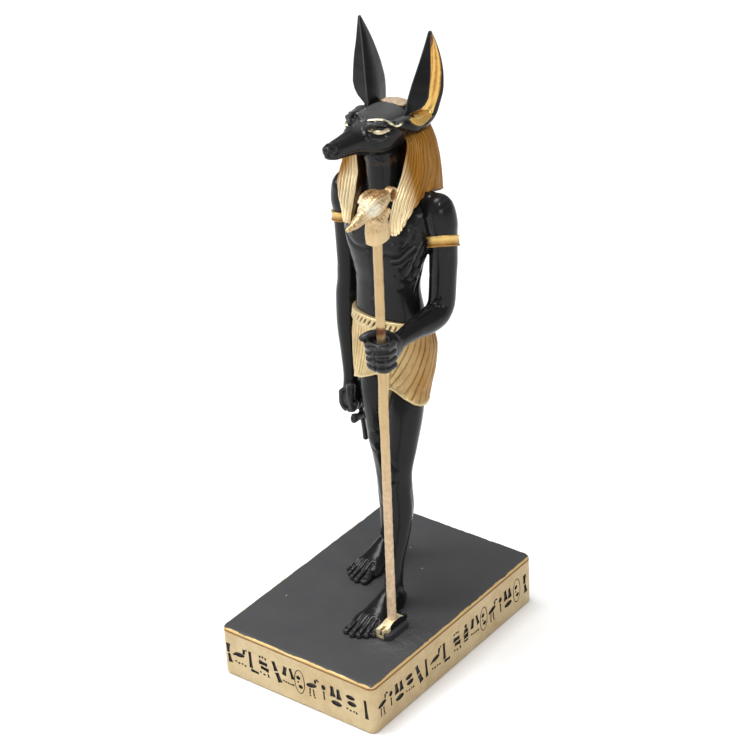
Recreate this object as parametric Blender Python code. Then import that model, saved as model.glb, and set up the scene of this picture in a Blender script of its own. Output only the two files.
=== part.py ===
"""Standing jackal-headed figure with staff on a rectangular plinth, real size, metres, +Z up.

Origin at the centre of the plinth's underside. The figure faces -Y, its left hand is at +X.
All lengths below are in millimetres and are turned into metres when a mesh is made.
"""
import math

import bmesh
import bpy
import numpy as np
from mathutils import Vector

MM = 0.001
GAP = 0.3                       # clearance between pieces that touch

PLINTH_L = 110.0                # front to back
PLINTH_W = 75.5                 # side to side
PLINTH_H = 22.5
PLINTH_CORNER_R = 3.0           # upright corners
PLINTH_EDGE_R = 0.9             # top and bottom edges
PAD_H = 2.7                     # low pad under the staff
PAD_X = (19.2, 26.2)
PAD_Y = (-28.0, -13.0)

TOTAL_H = 257.0                 # underside of the plinth to the ear tips
SOLE_Z = PLINTH_H + GAP

ROD_D = 4.0
ROD_FOOT = (21.5, -19.4)        # axis where it meets the foot
ROD_HEAD = (21.5, -16.9)        # axis where it meets the collar
ROD_FOOT_Z = PLINTH_H + PAD_H + GAP
ROD_HEAD_Z = 192.0
FOOT_H = 2.6                    # forked foot
FOOT_HALF_W = 2.3
BORE_CLEAR = 0.3                # round the rod in the left fist
BORE_D = ROD_D + 2 * BORE_CLEAR

ARMLET_Z = 176.0
ARMLET_X = {1: 22.8, -1: -22.2}
ARMLET_H = 5.4
ARMLET_OUT = 0.9                # stands off the arm
BELT_Z = (138.2, 142.8)
BELT_OUT = 0.8
PLEATS = 34
PLEAT_DEPTH = 0.45
WIG_FLUTES = 22
WIG_FLUTE_DEPTH = 0.35

VOXEL = 0.55                    # grain of the merged casting
FIGURE_TRIANGLES = 7300


def clear_scene():
    for old in list(bpy.data.objects):
        bpy.data.objects.remove(old, do_unlink=True)


def material(name, colour, roughness, metallic):
    mat = bpy.data.materials.new(name)
    mat.use_nodes = True
    shader = mat.node_tree.nodes["Principled BSDF"]
    shader.inputs["Base Color"].default_value = (*colour, 1.0)
    shader.inputs["Roughness"].default_value = roughness
    shader.inputs["Metallic"].default_value = metallic
    return mat


def slopes(x, y):
    """Slopes at the stations of a curve that never overshoots them."""
    h = np.diff(x)
    d = np.diff(y, axis=0) / h[:, None]
    m = np.zeros_like(y)
    for k in range(1, len(x) - 1):
        a = d[k - 1]
        b = d[k]
        w1 = 2 * h[k] + h[k - 1]
        w2 = h[k] + 2 * h[k - 1]
        safe = a * b > 0
        aa = np.where(safe, a, 1.0)
        bb = np.where(safe, b, 1.0)
        m[k] = np.where(safe, (w1 + w2) / (w1 / aa + w2 / bb), 0.0)
    m[0] = d[0]
    m[-1] = d[-1]
    return m


def smooth_rows(rows, step):
    """Stations read off a smooth curve through the given ones, about one step apart."""
    rows = np.array(rows, dtype=float)
    chord = np.linalg.norm(np.diff(rows[:, :3], axis=0), axis=1)
    at = np.concatenate([[0.0], np.cumsum(np.maximum(chord, 1e-6))])
    m = slopes(at, rows)
    out = []
    for k in range(len(rows) - 1):
        parts = max(1, int(round(chord[k] / step)))
        h = at[k + 1] - at[k]
        for j in range(parts):
            t = j / parts
            a = (1 + 2 * t) * (1 - t) ** 2
            b = t * (1 - t) ** 2
            c = t * t * (3 - 2 * t)
            d = t * t * (t - 1)
            out.append(a * rows[k] + b * h * m[k] + c * rows[k + 1] + d * h * m[k + 1])
    out.append(rows[-1])
    return np.array(out)


def oval(t, wide, low, high, power):
    """Point of an oval whose lower and upper halves differ in depth."""
    c = math.cos(t)
    s = math.sin(t)
    u = math.copysign(abs(c) ** (2.0 / power), c) * wide
    v = math.copysign(abs(s) ** (2.0 / power), s)
    return u, v * (high if v > 0 else low)


def skin(rings, name):
    """Closed mesh through rings of points, with a fan on each end."""
    bm = bmesh.new()
    loops = [[bm.verts.new(Vector(p) * MM) for p in ring] for ring in rings]
    for a, b in zip(loops, loops[1:]):
        for i in range(len(a)):
            j = (i + 1) % len(a)
            bm.faces.new((a[i], a[j], b[j], b[i]))
    for loop, flip in ((loops[0], True), (loops[-1], False)):
        mid = bm.verts.new(sum((v.co for v in loop), Vector()) / len(loop))
        for i in range(len(loop)):
            j = (i + 1) % len(loop)
            pair = (loop[j], loop[i]) if flip else (loop[i], loop[j])
            bm.faces.new((*pair, mid))
    bmesh.ops.recalc_face_normals(bm, faces=bm.faces)
    mesh = bpy.data.meshes.new(name)
    bm.to_mesh(mesh)
    bm.free()
    obj = bpy.data.objects.new(name, mesh)
    bpy.context.collection.objects.link(obj)
    return obj


def frames(path):
    """Side and depth axes square to a path; the side axis stays as near +X as it can."""
    path = np.array(path)
    out = []
    for k in range(len(path)):
        a = path[max(k - 1, 0)]
        b = path[min(k + 1, len(path) - 1)]
        along = Vector(b - a).normalized()
        side = Vector((1.0, 0.0, 0.0))
        side = (side - along * side.dot(along)).normalized()
        out.append((side, along.cross(side).normalized()))
    return out


def limb(name, rows, step=2.0, sides=28, round_ends=True):
    """Loft along stations (x, y, z, half width, low depth, high depth, power)."""
    rows = smooth_rows(rows, step)
    axes = frames(rows[:, :3])
    rings = []
    for row, (side, deep) in zip(rows, axes):
        ring = []
        for i in range(sides):
            u, v = oval(2 * math.pi * i / sides, row[3], row[4], row[5], row[6])
            ring.append(Vector(row[:3]) + side * u + deep * v)
        rings.append(ring)
    if round_ends:
        for end in (0, -1):
            row = rows[end]
            side, deep = axes[end]
            nose = Vector(rows[end][:3] - rows[1 if end == 0 else -2][:3]).normalized()
            reach = 0.8 * min(row[3], (row[4] + row[5]) / 2)
            caps = []
            for k in (1, 2, 3):
                a = k * math.pi / 8
                ring = []
                for i in range(sides):
                    u, v = oval(2 * math.pi * i / sides, row[3], row[4], row[5], row[6])
                    flat = (side * u + deep * v) * math.cos(a)
                    ring.append(Vector(row[:3]) + flat + nose * reach * math.sin(a))
                caps.append(ring)
            rings = caps[::-1] + rings if end == 0 else rings + caps
    return skin(rings, name)


def box(name, x, y, z, bevel=0.0):
    bm = bmesh.new()
    bmesh.ops.create_cube(bm, size=1.0)
    for v in bm.verts:
        v.co.x = (x[0] + x[1]) / 2 * MM + v.co.x * (x[1] - x[0]) * MM
        v.co.y = (y[0] + y[1]) / 2 * MM + v.co.y * (y[1] - y[0]) * MM
        v.co.z = (z[0] + z[1]) / 2 * MM + v.co.z * (z[1] - z[0]) * MM
    if bevel:
        bmesh.ops.bevel(bm, geom=bm.edges[:], offset=bevel * MM, segments=2, affect="EDGES", profile=0.5)
    mesh = bpy.data.meshes.new(name)
    bm.to_mesh(mesh)
    bm.free()
    obj = bpy.data.objects.new(name, mesh)
    bpy.context.collection.objects.link(obj)
    return obj


def applied(obj):
    """Replace the object's mesh by its evaluated one and drop the modifiers."""
    graph = bpy.context.evaluated_depsgraph_get()
    mesh = bpy.data.meshes.new_from_object(obj.evaluated_get(graph))
    old = obj.data
    obj.modifiers.clear()
    obj.data = mesh
    bpy.data.meshes.remove(old)
    return obj


def boolean(obj, other, operation, solver="EXACT"):
    mod = obj.modifiers.new(operation.lower(), "BOOLEAN")
    mod.operation = operation
    mod.object = other
    mod.solver = solver
    bpy.context.view_layer.update()
    applied(obj)
    bpy.data.objects.remove(other, do_unlink=True)
    return obj


def joined(name, objects):
    """One mesh that holds all the given shells."""
    bm = bmesh.new()
    for obj in objects:
        bm.from_mesh(obj.data)
        bpy.data.objects.remove(obj, do_unlink=True)
    mesh = bpy.data.meshes.new(name)
    bm.to_mesh(mesh)
    bm.free()
    obj = bpy.data.objects.new(name, mesh)
    bpy.context.collection.objects.link(obj)
    return obj


def triangles(obj):
    return sum(len(p.vertices) - 2 for p in obj.data.polygons)


def merged(obj, voxel, smooth, limit):
    """Melt overlapping shells into one skin, soften it and thin its triangles out."""
    remesh = obj.modifiers.new("merge", "REMESH")
    remesh.mode = "VOXEL"
    remesh.voxel_size = voxel * MM
    applied(obj)
    soften = obj.modifiers.new("soften", "SMOOTH")
    soften.factor = 0.5
    soften.iterations = smooth
    applied(obj)
    thin = obj.modifiers.new("thin", "DECIMATE")
    thin.ratio = limit / triangles(obj)
    return applied(obj)


def tidy(obj):
    bm = bmesh.new()
    bm.from_mesh(obj.data)
    bmesh.ops.triangulate(bm, faces=bm.faces)
    bmesh.ops.remove_doubles(bm, verts=bm.verts, dist=0.02 * MM)
    bmesh.ops.dissolve_degenerate(bm, dist=0.01 * MM, edges=bm.edges)
    bmesh.ops.triangulate(bm, faces=bm.faces)
    bm.to_mesh(obj.data)
    bm.free()
    return obj


def rod_at(z):
    t = (z - ROD_FOOT_Z) / (ROD_HEAD_Z - ROD_FOOT_Z)
    x = ROD_FOOT[0] + (ROD_HEAD[0] - ROD_FOOT[0]) * t
    y = ROD_FOOT[1] + (ROD_HEAD[1] - ROD_FOOT[1]) * t
    return x, y


def rod_tube(name, diameter, z0, z1, sides=24):
    rings = []
    for z in (z0, z1):
        x, y = rod_at(z)
        ring = []
        for i in range(sides):
            t = 2 * math.pi * i / sides
            ring.append((x + diameter / 2 * math.cos(t), y + diameter / 2 * math.sin(t), z))
        rings.append(ring)
    return skin(rings, name)


def torso():
    trunk = limb("trunk", [
        (0, 16.8, 120, 14.5, 8.5, 9.5, 2.2),
        (0, 16.8, 134, 16.0, 8.6, 10.5, 2.2),
        (0, 16.0, 146, 14.9, 7.7, 8.9, 2.2),
        (0, 15.5, 156, 14.0, 7.3, 8.0, 2.2),
        (0, 15.7, 164, 15.4, 8.5, 8.4, 2.2),
        (0, 16.2, 172, 17.6, 9.8, 9.2, 2.3),
        (0, 16.8, 180, 18.8, 10.4, 9.6, 2.3),
        (0, 17.8, 187, 19.2, 9.0, 9.2, 2.2),
        (0, 18.6, 192, 16.5, 7.2, 7.6, 2.1),
        (0, 18.8, 196, 11.0, 5.6, 6.4, 2.0),
    ])
    neck = limb("neck", [
        (0, 17.2, 188, 8.6, 8.0, 8.0, 2.0),
        (0, 16.2, 196, 6.8, 6.8, 7.5, 2.0),
        (0, 15.6, 206, 6.4, 6.4, 7.5, 2.0),
        (0, 15.0, 216, 6.6, 6.6, 8.0, 2.0),
    ])
    return [trunk, neck]


def blob(name, centre, radii, turn=0.0, sides=24):
    """Egg-shaped swelling, turned about the upright axis."""
    c = Vector(centre)
    rings = []
    count = sides // 2
    for k in range(1, count):
        a = math.pi * k / count
        ring = []
        for i in range(sides):
            t = 2 * math.pi * i / sides
            x = radii[0] * math.sin(a) * math.cos(t)
            y = radii[1] * math.sin(a) * math.sin(t)
            ring.append(c + Vector((x * math.cos(turn) - y * math.sin(turn),
                                    x * math.sin(turn) + y * math.cos(turn),
                                    -radii[2] * math.cos(a))))
        rings.append(ring)
    return skin(rings, name)


def chest_muscles():
    return [blob("pectoral", (s * 8.6, 12.4, 179.6), (8.8, 5.4, 7.0), s * 0.25) for s in (-1, 1)]


def legs():
    left = [
        (12.0, -5.2, 24.0, 4.3, 5.2, 4.4, 2.0),
        (12.0, -5.2, 33.0, 3.5, 4.2, 4.0, 2.0),
        (11.8, -3.9, 42.0, 3.7, 4.0, 3.9, 2.0),
        (11.3, -0.4, 54.0, 4.9, 4.4, 5.2, 2.0),
        (10.7, 2.6, 64.0, 5.5, 5.2, 5.9, 2.0),
        (10.0, 4.0, 73.0, 5.3, 5.8, 4.8, 2.0),
        (9.5, 4.8, 80.0, 5.6, 6.6, 4.3, 2.0),
        (9.4, 7.4, 90.0, 6.2, 6.8, 5.8, 2.0),
        (8.9, 11.2, 105.0, 7.3, 7.8, 7.8, 2.0),
        (8.4, 14.4, 122.0, 8.2, 8.4, 9.0, 2.0),
        (7.6, 16.2, 134.0, 7.6, 7.0, 9.0, 2.0),
    ]
    right = [
        (-12.0, 23.4, 24.0, 4.2, 5.0, 4.8, 2.0),
        (-11.7, 23.4, 33.0, 3.4, 3.8, 4.2, 2.0),
        (-11.3, 23.6, 42.0, 3.6, 3.6, 4.3, 2.0),
        (-10.7, 23.4, 54.0, 4.8, 4.0, 6.0, 2.0),
        (-10.1, 22.6, 65.0, 5.4, 4.4, 6.6, 2.0),
        (-9.9, 21.2, 74.0, 5.3, 5.0, 5.6, 2.0),
        (-9.8, 20.2, 81.0, 5.7, 6.0, 5.2, 2.0),
        (-9.7, 19.3, 92.0, 6.4, 6.6, 6.8, 2.0),
        (-9.2, 18.4, 106.0, 7.4, 7.8, 8.2, 2.0),
        (-8.4, 17.8, 122.0, 8.2, 8.4, 9.0, 2.0),
        (-7.6, 17.2, 134.0, 7.6, 7.4, 9.0, 2.0),
    ]
    return [limb("left_leg", left), limb("right_leg", right)]


def foot(heel, ball, toes, toe_r):
    """Foot from heel to ball, with five toes given by their tips, big toe first."""
    hx, hy = heel
    bx, by = ball
    low = SOLE_Z - 1.5
    rows = [
        (hx, hy + 3.6, low + 3.4, 2.4, 3.4, 1.6, 2.3),
        (hx, hy + 1.0, low + 4.2, 3.8, 4.2, 3.4, 2.3),
        (hx, hy - 4.0, low + 5.2, 4.1, 5.2, 6.4, 2.2),
        (hx + (bx - hx) * 0.45, hy + (by - hy) * 0.45, low + 4.4, 4.6, 4.4, 5.8, 2.2),
        (hx + (bx - hx) * 0.75, hy + (by - hy) * 0.75, low + 3.4, 5.8, 3.4, 3.8, 2.3),
        (bx, by, low + 2.8, 6.9, 2.8, 2.6, 2.5),
        (bx, by - 2.5, low + 2.4, 6.6, 2.4, 2.0, 2.5),
    ]
    out = [limb("foot", rows)]
    for k, (tx, ty) in enumerate(toes):
        r = toe_r * (1.25 if k == 0 else 1.0 - 0.05 * k)
        x0 = bx + (tx - bx) * 0.86
        out.append(limb("toe", [
            (x0, by + 1.0, low + 2.6, r, 2.6, 1.7, 2.2),
            (tx * 0.5 + x0 * 0.5, (ty + by) / 2, low + 2.5, r, 2.5, 1.5, 2.2),
            (tx, ty + r, low + 2.3, r, 2.3, 1.2, 2.2),
        ], step=1.5, sides=16))
    return out


def feet():
    left = foot((11.6, -3.6), (12.0, -23.0),
                [(7.4, -33.0), (10.7, -33.6), (13.4, -32.6), (15.9, -31.0), (18.2, -29.0)], 1.32)
    right = foot((-12.2, 27.0), (-12.0, 8.2),
                 [(-7.4, -1.8), (-10.7, -2.4), (-13.4, -1.4), (-15.9, 0.4), (-18.2, 2.6)], 1.32)
    return left + right


def arms():
    out = []
    left = [
        (22.1, -12.0, 146.8, 3.2, 4.4, 4.4, 2.0),
        (22.0, -6.0, 147.2, 3.1, 3.5, 3.5, 2.0),
        (21.9, 2.0, 147.4, 3.9, 4.3, 4.1, 2.0),
        (21.8, 10.0, 146.8, 4.8, 5.0, 5.0, 2.0),
        (21.9, 15.8, 147.4, 5.1, 5.2, 5.5, 2.0),
        (22.0, 19.6, 151.2, 5.2, 5.1, 5.5, 2.0),
        (22.3, 20.5, 160.0, 5.3, 5.3, 5.3, 2.0),
        (22.7, 20.9, 170.0, 5.4, 5.6, 5.6, 2.0),
        (22.8, 20.9, 178.0, 5.4, 5.7, 5.7, 2.0),
        (22.4, 20.6, 184.0, 6.2, 6.6, 6.4, 2.0),
        (21.2, 20.2, 189.5, 6.4, 6.4, 6.2, 2.0),
        (17.6, 19.6, 192.2, 4.2, 4.2, 4.2, 2.0),
    ]
    right = [
        (-22.8, 18.4, 100.0, 3.4, 4.6, 4.6, 2.0),
        (-22.9, 18.5, 107.0, 3.1, 3.4, 3.4, 2.0),
        (-23.1, 19.0, 117.0, 3.8, 4.0, 4.0, 2.0),
        (-23.5, 19.5, 131.0, 4.7, 4.9, 4.9, 2.0),
        (-23.4, 20.1, 142.0, 4.9, 5.1, 5.1, 2.0),
        (-22.8, 20.6, 150.0, 4.6, 5.0, 5.0, 2.0),
        (-22.4, 20.8, 162.0, 5.0, 5.2, 5.2, 2.0),
        (-22.2, 20.9, 170.0, 5.3, 5.5, 5.5, 2.0),
        (-22.2, 20.9, 178.0, 5.4, 5.7, 5.7, 2.0),
        (-21.8, 20.6, 184.0, 6.1, 6.6, 6.4, 2.0),
        (-20.6, 20.2, 189.5, 6.3, 6.4, 6.2, 2.0),
        (-17.6, 19.6, 192.2, 4.2, 4.2, 4.2, 2.0),
    ]
    out.append(limb("left_arm", left))
    out.append(limb("right_arm", right))
    for s in (-1, 1):
        half = ARMLET_H / 2
        w = 5.4 + ARMLET_OUT
        d = 5.7 + ARMLET_OUT
        out.append(limb("armlet", [
            (ARMLET_X[s], 20.9, ARMLET_Z - half, w, d, d, 2.0),
            (ARMLET_X[s], 20.9, ARMLET_Z + half, w, d, d, 2.0),
        ], step=2.7, round_ends=False))
    return out


def left_fist():
    cx, cy = rod_at(146.5)
    out = [limb("palm", [
        (cx + 0.6, cy + 7.0, 146.8, 3.3, 5.0, 4.6, 2.3),
        (cx + 0.2, cy + 3.0, 146.4, 4.2, 5.6, 5.6, 2.4),
        (cx - 0.2, cy - 0.8, 146.0, 4.4, 5.6, 5.8, 2.6),
        (cx - 0.4, cy - 3.0, 146.0, 3.8, 5.2, 5.4, 2.6),
    ])]
    for k in range(4):
        z = 150.4 - 2.95 * k
        r = 1.6 - 0.05 * k
        out.append(limb("finger", [
            (cx + 3.9, cy + 2.0, z, 0.9 * r, r, r, 2.2),
            (cx + 3.8, cy - 2.6, z, r, r, r, 2.2),
            (cx + 1.0, cy - 4.9 + 0.3 * k, z, r, r, r, 2.2),
            (cx - 2.7, cy - 4.4 + 0.3 * k, z, r, r, r, 2.2),
            (cx - 4.5, cy - 1.8, z - 0.2, r, r, r, 2.2),
            (cx - 4.3, cy + 0.6, z - 0.4, 0.9 * r, r, r, 2.2),
        ], step=1.4, sides=14))
    out.append(limb("thumb", [
        (cx + 1.5, cy + 6.0, 149.8, 2.0, 2.0, 2.0, 2.0),
        (cx - 2.4, cy + 2.8, 152.2, 1.8, 1.8, 1.8, 2.0),
        (cx - 5.0, cy - 1.4, 152.8, 1.6, 1.6, 1.6, 2.0),
        (cx - 6.2, cy - 4.2, 152.4, 1.3, 1.3, 1.3, 2.0),
    ], step=1.5, sides=16))
    return out


def right_fist():
    cx, cy, cz = -21.9, 18.6, 98.4
    out = [limb("palm", [
        (cx, cy, cz - 4.2, 3.2, 4.6, 4.6, 2.3),
        (cx - 0.2, cy, cz, 3.8, 5.4, 5.4, 2.4),
        (cx - 0.4, cy, cz + 4.5, 3.3, 4.4, 4.4, 2.2),
    ])]
    for k in range(4):
        y = cy - 4.0 + 2.65 * k
        r = 1.5
        out.append(limb("finger", [
            (cx - 3.0, y, cz + 2.0, r, r, r, 2.2),
            (cx - 3.1, y, cz - 2.6, r, r, r, 2.2),
            (cx - 1.0, y, cz - 5.2, r, r, r, 2.2),
            (cx + 2.0, y, cz - 4.4, r, r, r, 2.2),
            (cx + 3.2, y, cz - 1.4, r, r, r, 2.2),
        ], step=1.4, sides=14))
    out.append(limb("thumb", [
        (cx + 1.2, cy - 3.6, cz + 5.5, 1.8, 1.8, 1.8, 2.0),
        (cx + 1.8, cy - 5.0, cz + 1.0, 1.7, 1.7, 1.7, 2.0),
        (cx + 2.2, cy - 4.4, cz - 3.2, 1.4, 1.4, 1.4, 2.0),
    ], step=1.5, sides=16))
    return out


def ankh():
    """Ankh hanging from the right fist: flared stem and cross bar, its plane front to back."""
    lean = 0.22
    ax, ay, az = -20.8, 20.6, 92.0
    stem = limb("ankh_stem", [
        (ax, ay + lean * (az - 76.0), 75.8, 1.15, 2.3, 2.3, 3.2),
        (ax, ay + lean * (az - 84.0), 84.0, 1.15, 1.3, 1.3, 3.2),
        (ax, ay, az + 3.0, 1.15, 1.3, 1.3, 3.2),
    ], round_ends=False)
    bar_z = 87.4
    by = ay + lean * (az - bar_z)
    bar = limb("ankh_bar", [
        (ax, by - 6.4, bar_z + 1.2, 1.3, 2.1, 2.1, 3.2),
        (ax, by, bar_z, 1.3, 1.2, 1.2, 3.2),
        (ax, by + 6.4, bar_z - 1.2, 1.3, 2.1, 2.1, 3.2),
    ], round_ends=False)
    return [stem, bar]


def hem_z(angle):
    """Height of the kilt's hem by the angle from the front, towards the figure's left."""
    table = [(-180, 105), (-130, 106), (-90, 109.5), (-55, 112), (-25, 116.5), (-4, 119),
             (4, 115.8), (20, 113.6), (45, 110), (70, 107), (95, 105.8), (135, 105), (180, 105)]
    a = [p[0] for p in table]
    z = [p[1] for p in table]
    return float(np.interp(angle, a, z))


def kilt():
    rows = [
        (0, 15.0, 103.0, 14.6, 11.2, 9.4),
        (0, 15.6, 112.0, 16.2, 11.2, 10.4),
        (0, 16.6, 122.0, 17.9, 10.4, 11.3),
        (0, 17.2, 130.0, 18.4, 9.9, 11.7),
        (0, 16.9, 137.0, 17.2, 9.3, 10.9),
        (0, 16.4, BELT_Z[1], 15.9, 8.7, 9.5),
    ]
    rows = smooth_rows(rows, 1.0)
    zs = rows[:, 2]
    sides = PLEATS * 4
    high = 16
    rings = []
    for k in range(high + 1):
        ring = []
        for i in range(sides):
            t = 2 * math.pi * i / sides
            angle = math.degrees(math.atan2(math.cos(t), -math.sin(t)))
            z0 = hem_z(angle)
            z = z0 + (BELT_Z[1] - 0.6 - z0) * k / high
            cy, a, f, b = [float(np.interp(z, zs, rows[:, c])) for c in (1, 3, 4, 5)]
            fade = min(1.0, (BELT_Z[0] - z) / 10.0) if z < BELT_Z[0] else 0.0
            swell = 1.0 + 0.5 / a * (1.0 if angle > 0 else 0.0) * (z < BELT_Z[0])
            fold = PLEAT_DEPTH * fade * math.cos(PLEATS * t)
            u, v = oval(t, a, f, b, 2.15)
            grow = 1.0 + fold / math.hypot(u, v)
            ring.append((u * grow * swell, cy + v * grow * swell, z))
        rings.append(ring)
    skirt = skin(rings, "skirt")
    belt_rows = []
    for z in (BELT_Z[0], BELT_Z[1]):
        cy, a, f, b = [float(np.interp(z, zs, rows[:, c])) for c in (1, 3, 4, 5)]
        out = BELT_OUT
        belt_rows.append((0, cy, z, a + out, f + out, b + out, 2.15))
    belt = limb("belt", belt_rows, step=2.3, sides=64, round_ends=False)
    tab = limb("tab", [
        (0, 8.4, 94.5, 2.7, 1.5, 1.5, 3.0),
        (0, 8.0, 106.0, 2.5, 1.5, 1.5, 3.0),
        (0, 8.4, 121.0, 2.4, 2.0, 2.0, 3.0),
    ], round_ends=False)
    return [skirt, belt, tab]


def head():
    """Jackal head from the back of the skull to the nose, then brows, eyes and nose pad."""
    skull = limb("skull", [
        (0, 31.0, 218.8, 6.6, 6.0, 5.0, 2.0),
        (0, 26.0, 219.6, 9.4, 8.4, 7.0, 2.0),
        (0, 19.0, 219.8, 10.2, 9.6, 8.0, 2.1),
        (0, 12.0, 219.6, 9.6, 9.0, 7.8, 2.2),
        (0, 6.5, 219.7, 7.8, 8.0, 6.3, 2.3),
        (0, 2.0, 220.2, 5.8, 6.6, 4.6, 2.3),
        (0, -3.0, 220.6, 4.6, 5.0, 3.5, 2.3),
        (0, -8.0, 220.8, 3.8, 4.5, 3.1, 2.3),
        (0, -12.5, 221.0, 3.1, 3.9, 3.0, 2.3),
        (0, -15.6, 221.4, 2.5, 3.1, 2.6, 2.2),
    ], step=1.5, sides=32)
    out = [skull]
    out.append(limb("nose", [
        (0, -14.8, 222.6, 2.1, 1.8, 1.7, 2.2),
        (0, -16.7, 222.2, 1.9, 1.8, 1.6, 2.2),
    ], step=1.0, sides=18))
    for s in (-1, 1):
        out.append(limb("brow", [
            (s * 3.8, 1.8, 225.2, 0.9, 0.9, 0.9, 2.0),
            (s * 6.4, 5.0, 226.0, 1.1, 1.1, 1.1, 2.0),
            (s * 8.2, 9.5, 225.4, 1.0, 1.0, 1.0, 2.0),
            (s * 9.4, 14.0, 224.0, 0.8, 0.8, 0.8, 2.0),
        ], step=1.4, sides=12))
        out.append(limb("eye", [
            (s * 5.7, 3.0, 222.4, 0.8, 0.8, 0.8, 2.0),
            (s * 7.0, 5.6, 222.9, 1.4, 1.4, 1.4, 2.0),
            (s * 8.5, 8.8, 222.6, 0.8, 0.8, 0.8, 2.0),
        ], step=1.2, sides=12))
    return out


EAR_KEEL = (-3.4, -4.6)          # plan of the left ear about its middle: outwards, backwards
EAR_FRONT_RIM = (2.6, -4.2)
EAR_REAR_RIM = (0.9, 9.3)
EAR_WALL = 1.3


def eased(corners, reach, pieces=4):
    """Closed outline through straight sides whose corners are rounded over the given reach."""
    out = []
    count = len(corners)
    for k in range(count):
        c = Vector(corners[k])
        before = Vector(corners[k - 1]) - c
        after = Vector(corners[(k + 1) % count]) - c
        a = c + before.normalized() * min(reach, before.length * 0.45)
        b = c + after.normalized() * min(reach, after.length * 0.45)
        for j in range(pieces + 1):
            t = j / pieces
            out.append(tuple(a * (1 - t) ** 2 + c * 2 * t * (1 - t) + b * t * t))
    return out


def ear_rows():
    """Middle line of the left ear and its size as a share of the plan."""
    return [
        (10.2, 20.8, 215.0, 0.45),
        (10.9, 22.0, 218.5, 0.84),
        (11.9, 23.6, 223.5, 1.12),
        (12.9, 24.8, 229.0, 1.14),
        (13.9, 25.6, 235.5, 1.03),
        (14.8, 26.2, 242.0, 0.80),
        (15.4, 26.5, 248.0, 0.53),
        (15.8, 26.4, 253.0, 0.28),
        (16.0, 26.2, TOTAL_H - 0.6, 0.10),
    ]


def ear(s):
    """Ear with a ridge on its inner front corner, cupped towards the side of the head."""
    k, f, r = EAR_KEEL, EAR_FRONT_RIM, EAR_REAR_RIM
    w = EAR_WALL
    plan = eased([k, f, (f[0] + 0.2, f[1] + 2.0), (r[0] + 0.7, r[1] - 2.0), r,
                  (r[0] - 1.2, r[1] - 0.4), (k[0] - 0.6, k[1] + 5.0)], 1.2)
    cup = eased([(k[0] + w, k[1] + 1.6 * w), (f[0] - 0.2, f[1] + w), (f[0] + 4.0, f[1] + w),
                 (r[0] + 5.0, r[1] - 2.2), (r[0] + 0.2, r[1] - 2.2), (k[0] + w - 0.2, k[1] + 6.0)], 1.0)
    rows = smooth_rows([(*q, 0.0) for q in ear_rows()], 1.5)

    def rings(outline, z0, z1, share):
        out = []
        for x, y, z, size, _ in rows:
            if z0 < z < z1:
                g = size * share
                out.append([(s * (x + g * px), y + g * py, z) for px, py in outline])
        return out

    shell = skin(rings(plan, 0.0, 400.0, 1.0), "ear")
    hollow = skin(rings(cup, 218.0, 252.0, 1.0), "ear_hollow")
    return boolean(shell, hollow, "DIFFERENCE")


def wig_base_z(angle):
    """Height of the wig's lower edge by the angle from the front: on the shoulders, lower behind."""
    return float(np.interp(abs(angle), [0, 60, 110, 150, 180], [196.0, 195.5, 193.5, 187.0, 185.0]))


def wig():
    rows = smooth_rows([
        (0, 22.2, 186.0, 18.8, 9.6, 15.6),
        (0, 22.2, 194.0, 19.2, 10.0, 16.2),
        (0, 22.2, 200.0, 18.8, 10.2, 16.4),
        (0, 22.2, 206.0, 18.0, 10.4, 16.2),
        (0, 22.4, 212.0, 16.6, 10.0, 15.4),
        (0, 22.6, 217.0, 14.4, 8.4, 14.0),
        (0, 22.8, 221.5, 11.8, 6.0, 11.8),
        (0, 23.2, 224.8, 8.8, 3.6, 8.6),
        (0, 23.4, 226.6, 5.6, 2.2, 5.2),
        (0, 23.6, 227.4, 2.0, 1.0, 2.0),
    ], 1.0)
    zs = rows[:, 2]
    sides = WIG_FLUTES * 4
    high = 26
    rings = []
    for k in range(high + 1):
        ring = []
        for i in range(sides):
            t = 2 * math.pi * i / sides
            angle = math.degrees(math.atan2(math.cos(t), -math.sin(t)))
            z0 = wig_base_z(angle)
            z = z0 + (zs[-1] - z0) * math.sin(0.5 * math.pi * k / high)
            cy, a, f, b = [float(np.interp(z, zs, rows[:, c])) for c in (1, 3, 4, 5)]
            u, v = oval(t, a, f, b, 2.1)
            fade = max(0.0, min(1.0, (222.0 - z) / 12.0))
            grow = 1.0 + WIG_FLUTE_DEPTH * fade * math.cos(WIG_FLUTES * t) / max(math.hypot(u, v), 1.0)
            ring.append((u * grow, cy + v * grow, z))
        rings.append(ring)
    out = [skin(rings, "wig")]
    for s in (-1, 1):
        out.append(limb("lappet", [
            (s * 10.7, 7.6, 182.6, 2.2, 2.0, 3.0, 3.6),
            (s * 11.3, 8.2, 186.0, 3.0, 2.1, 3.4, 3.6),
            (s * 12.1, 9.6, 189.7, 4.0, 2.3, 4.0, 3.4),
            (s * 13.3, 12.2, 195.0, 5.3, 2.6, 5.0, 3.2),
            (s * 13.8, 15.0, 200.0, 5.0, 2.8, 6.0, 3.0),
            (s * 13.4, 17.0, 206.0, 4.4, 2.8, 6.0, 2.8),
            (s * 12.7, 18.4, 212.0, 3.4, 2.8, 6.0, 2.6),
        ], step=2.0, sides=32, round_ends=False))
    return out


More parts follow.
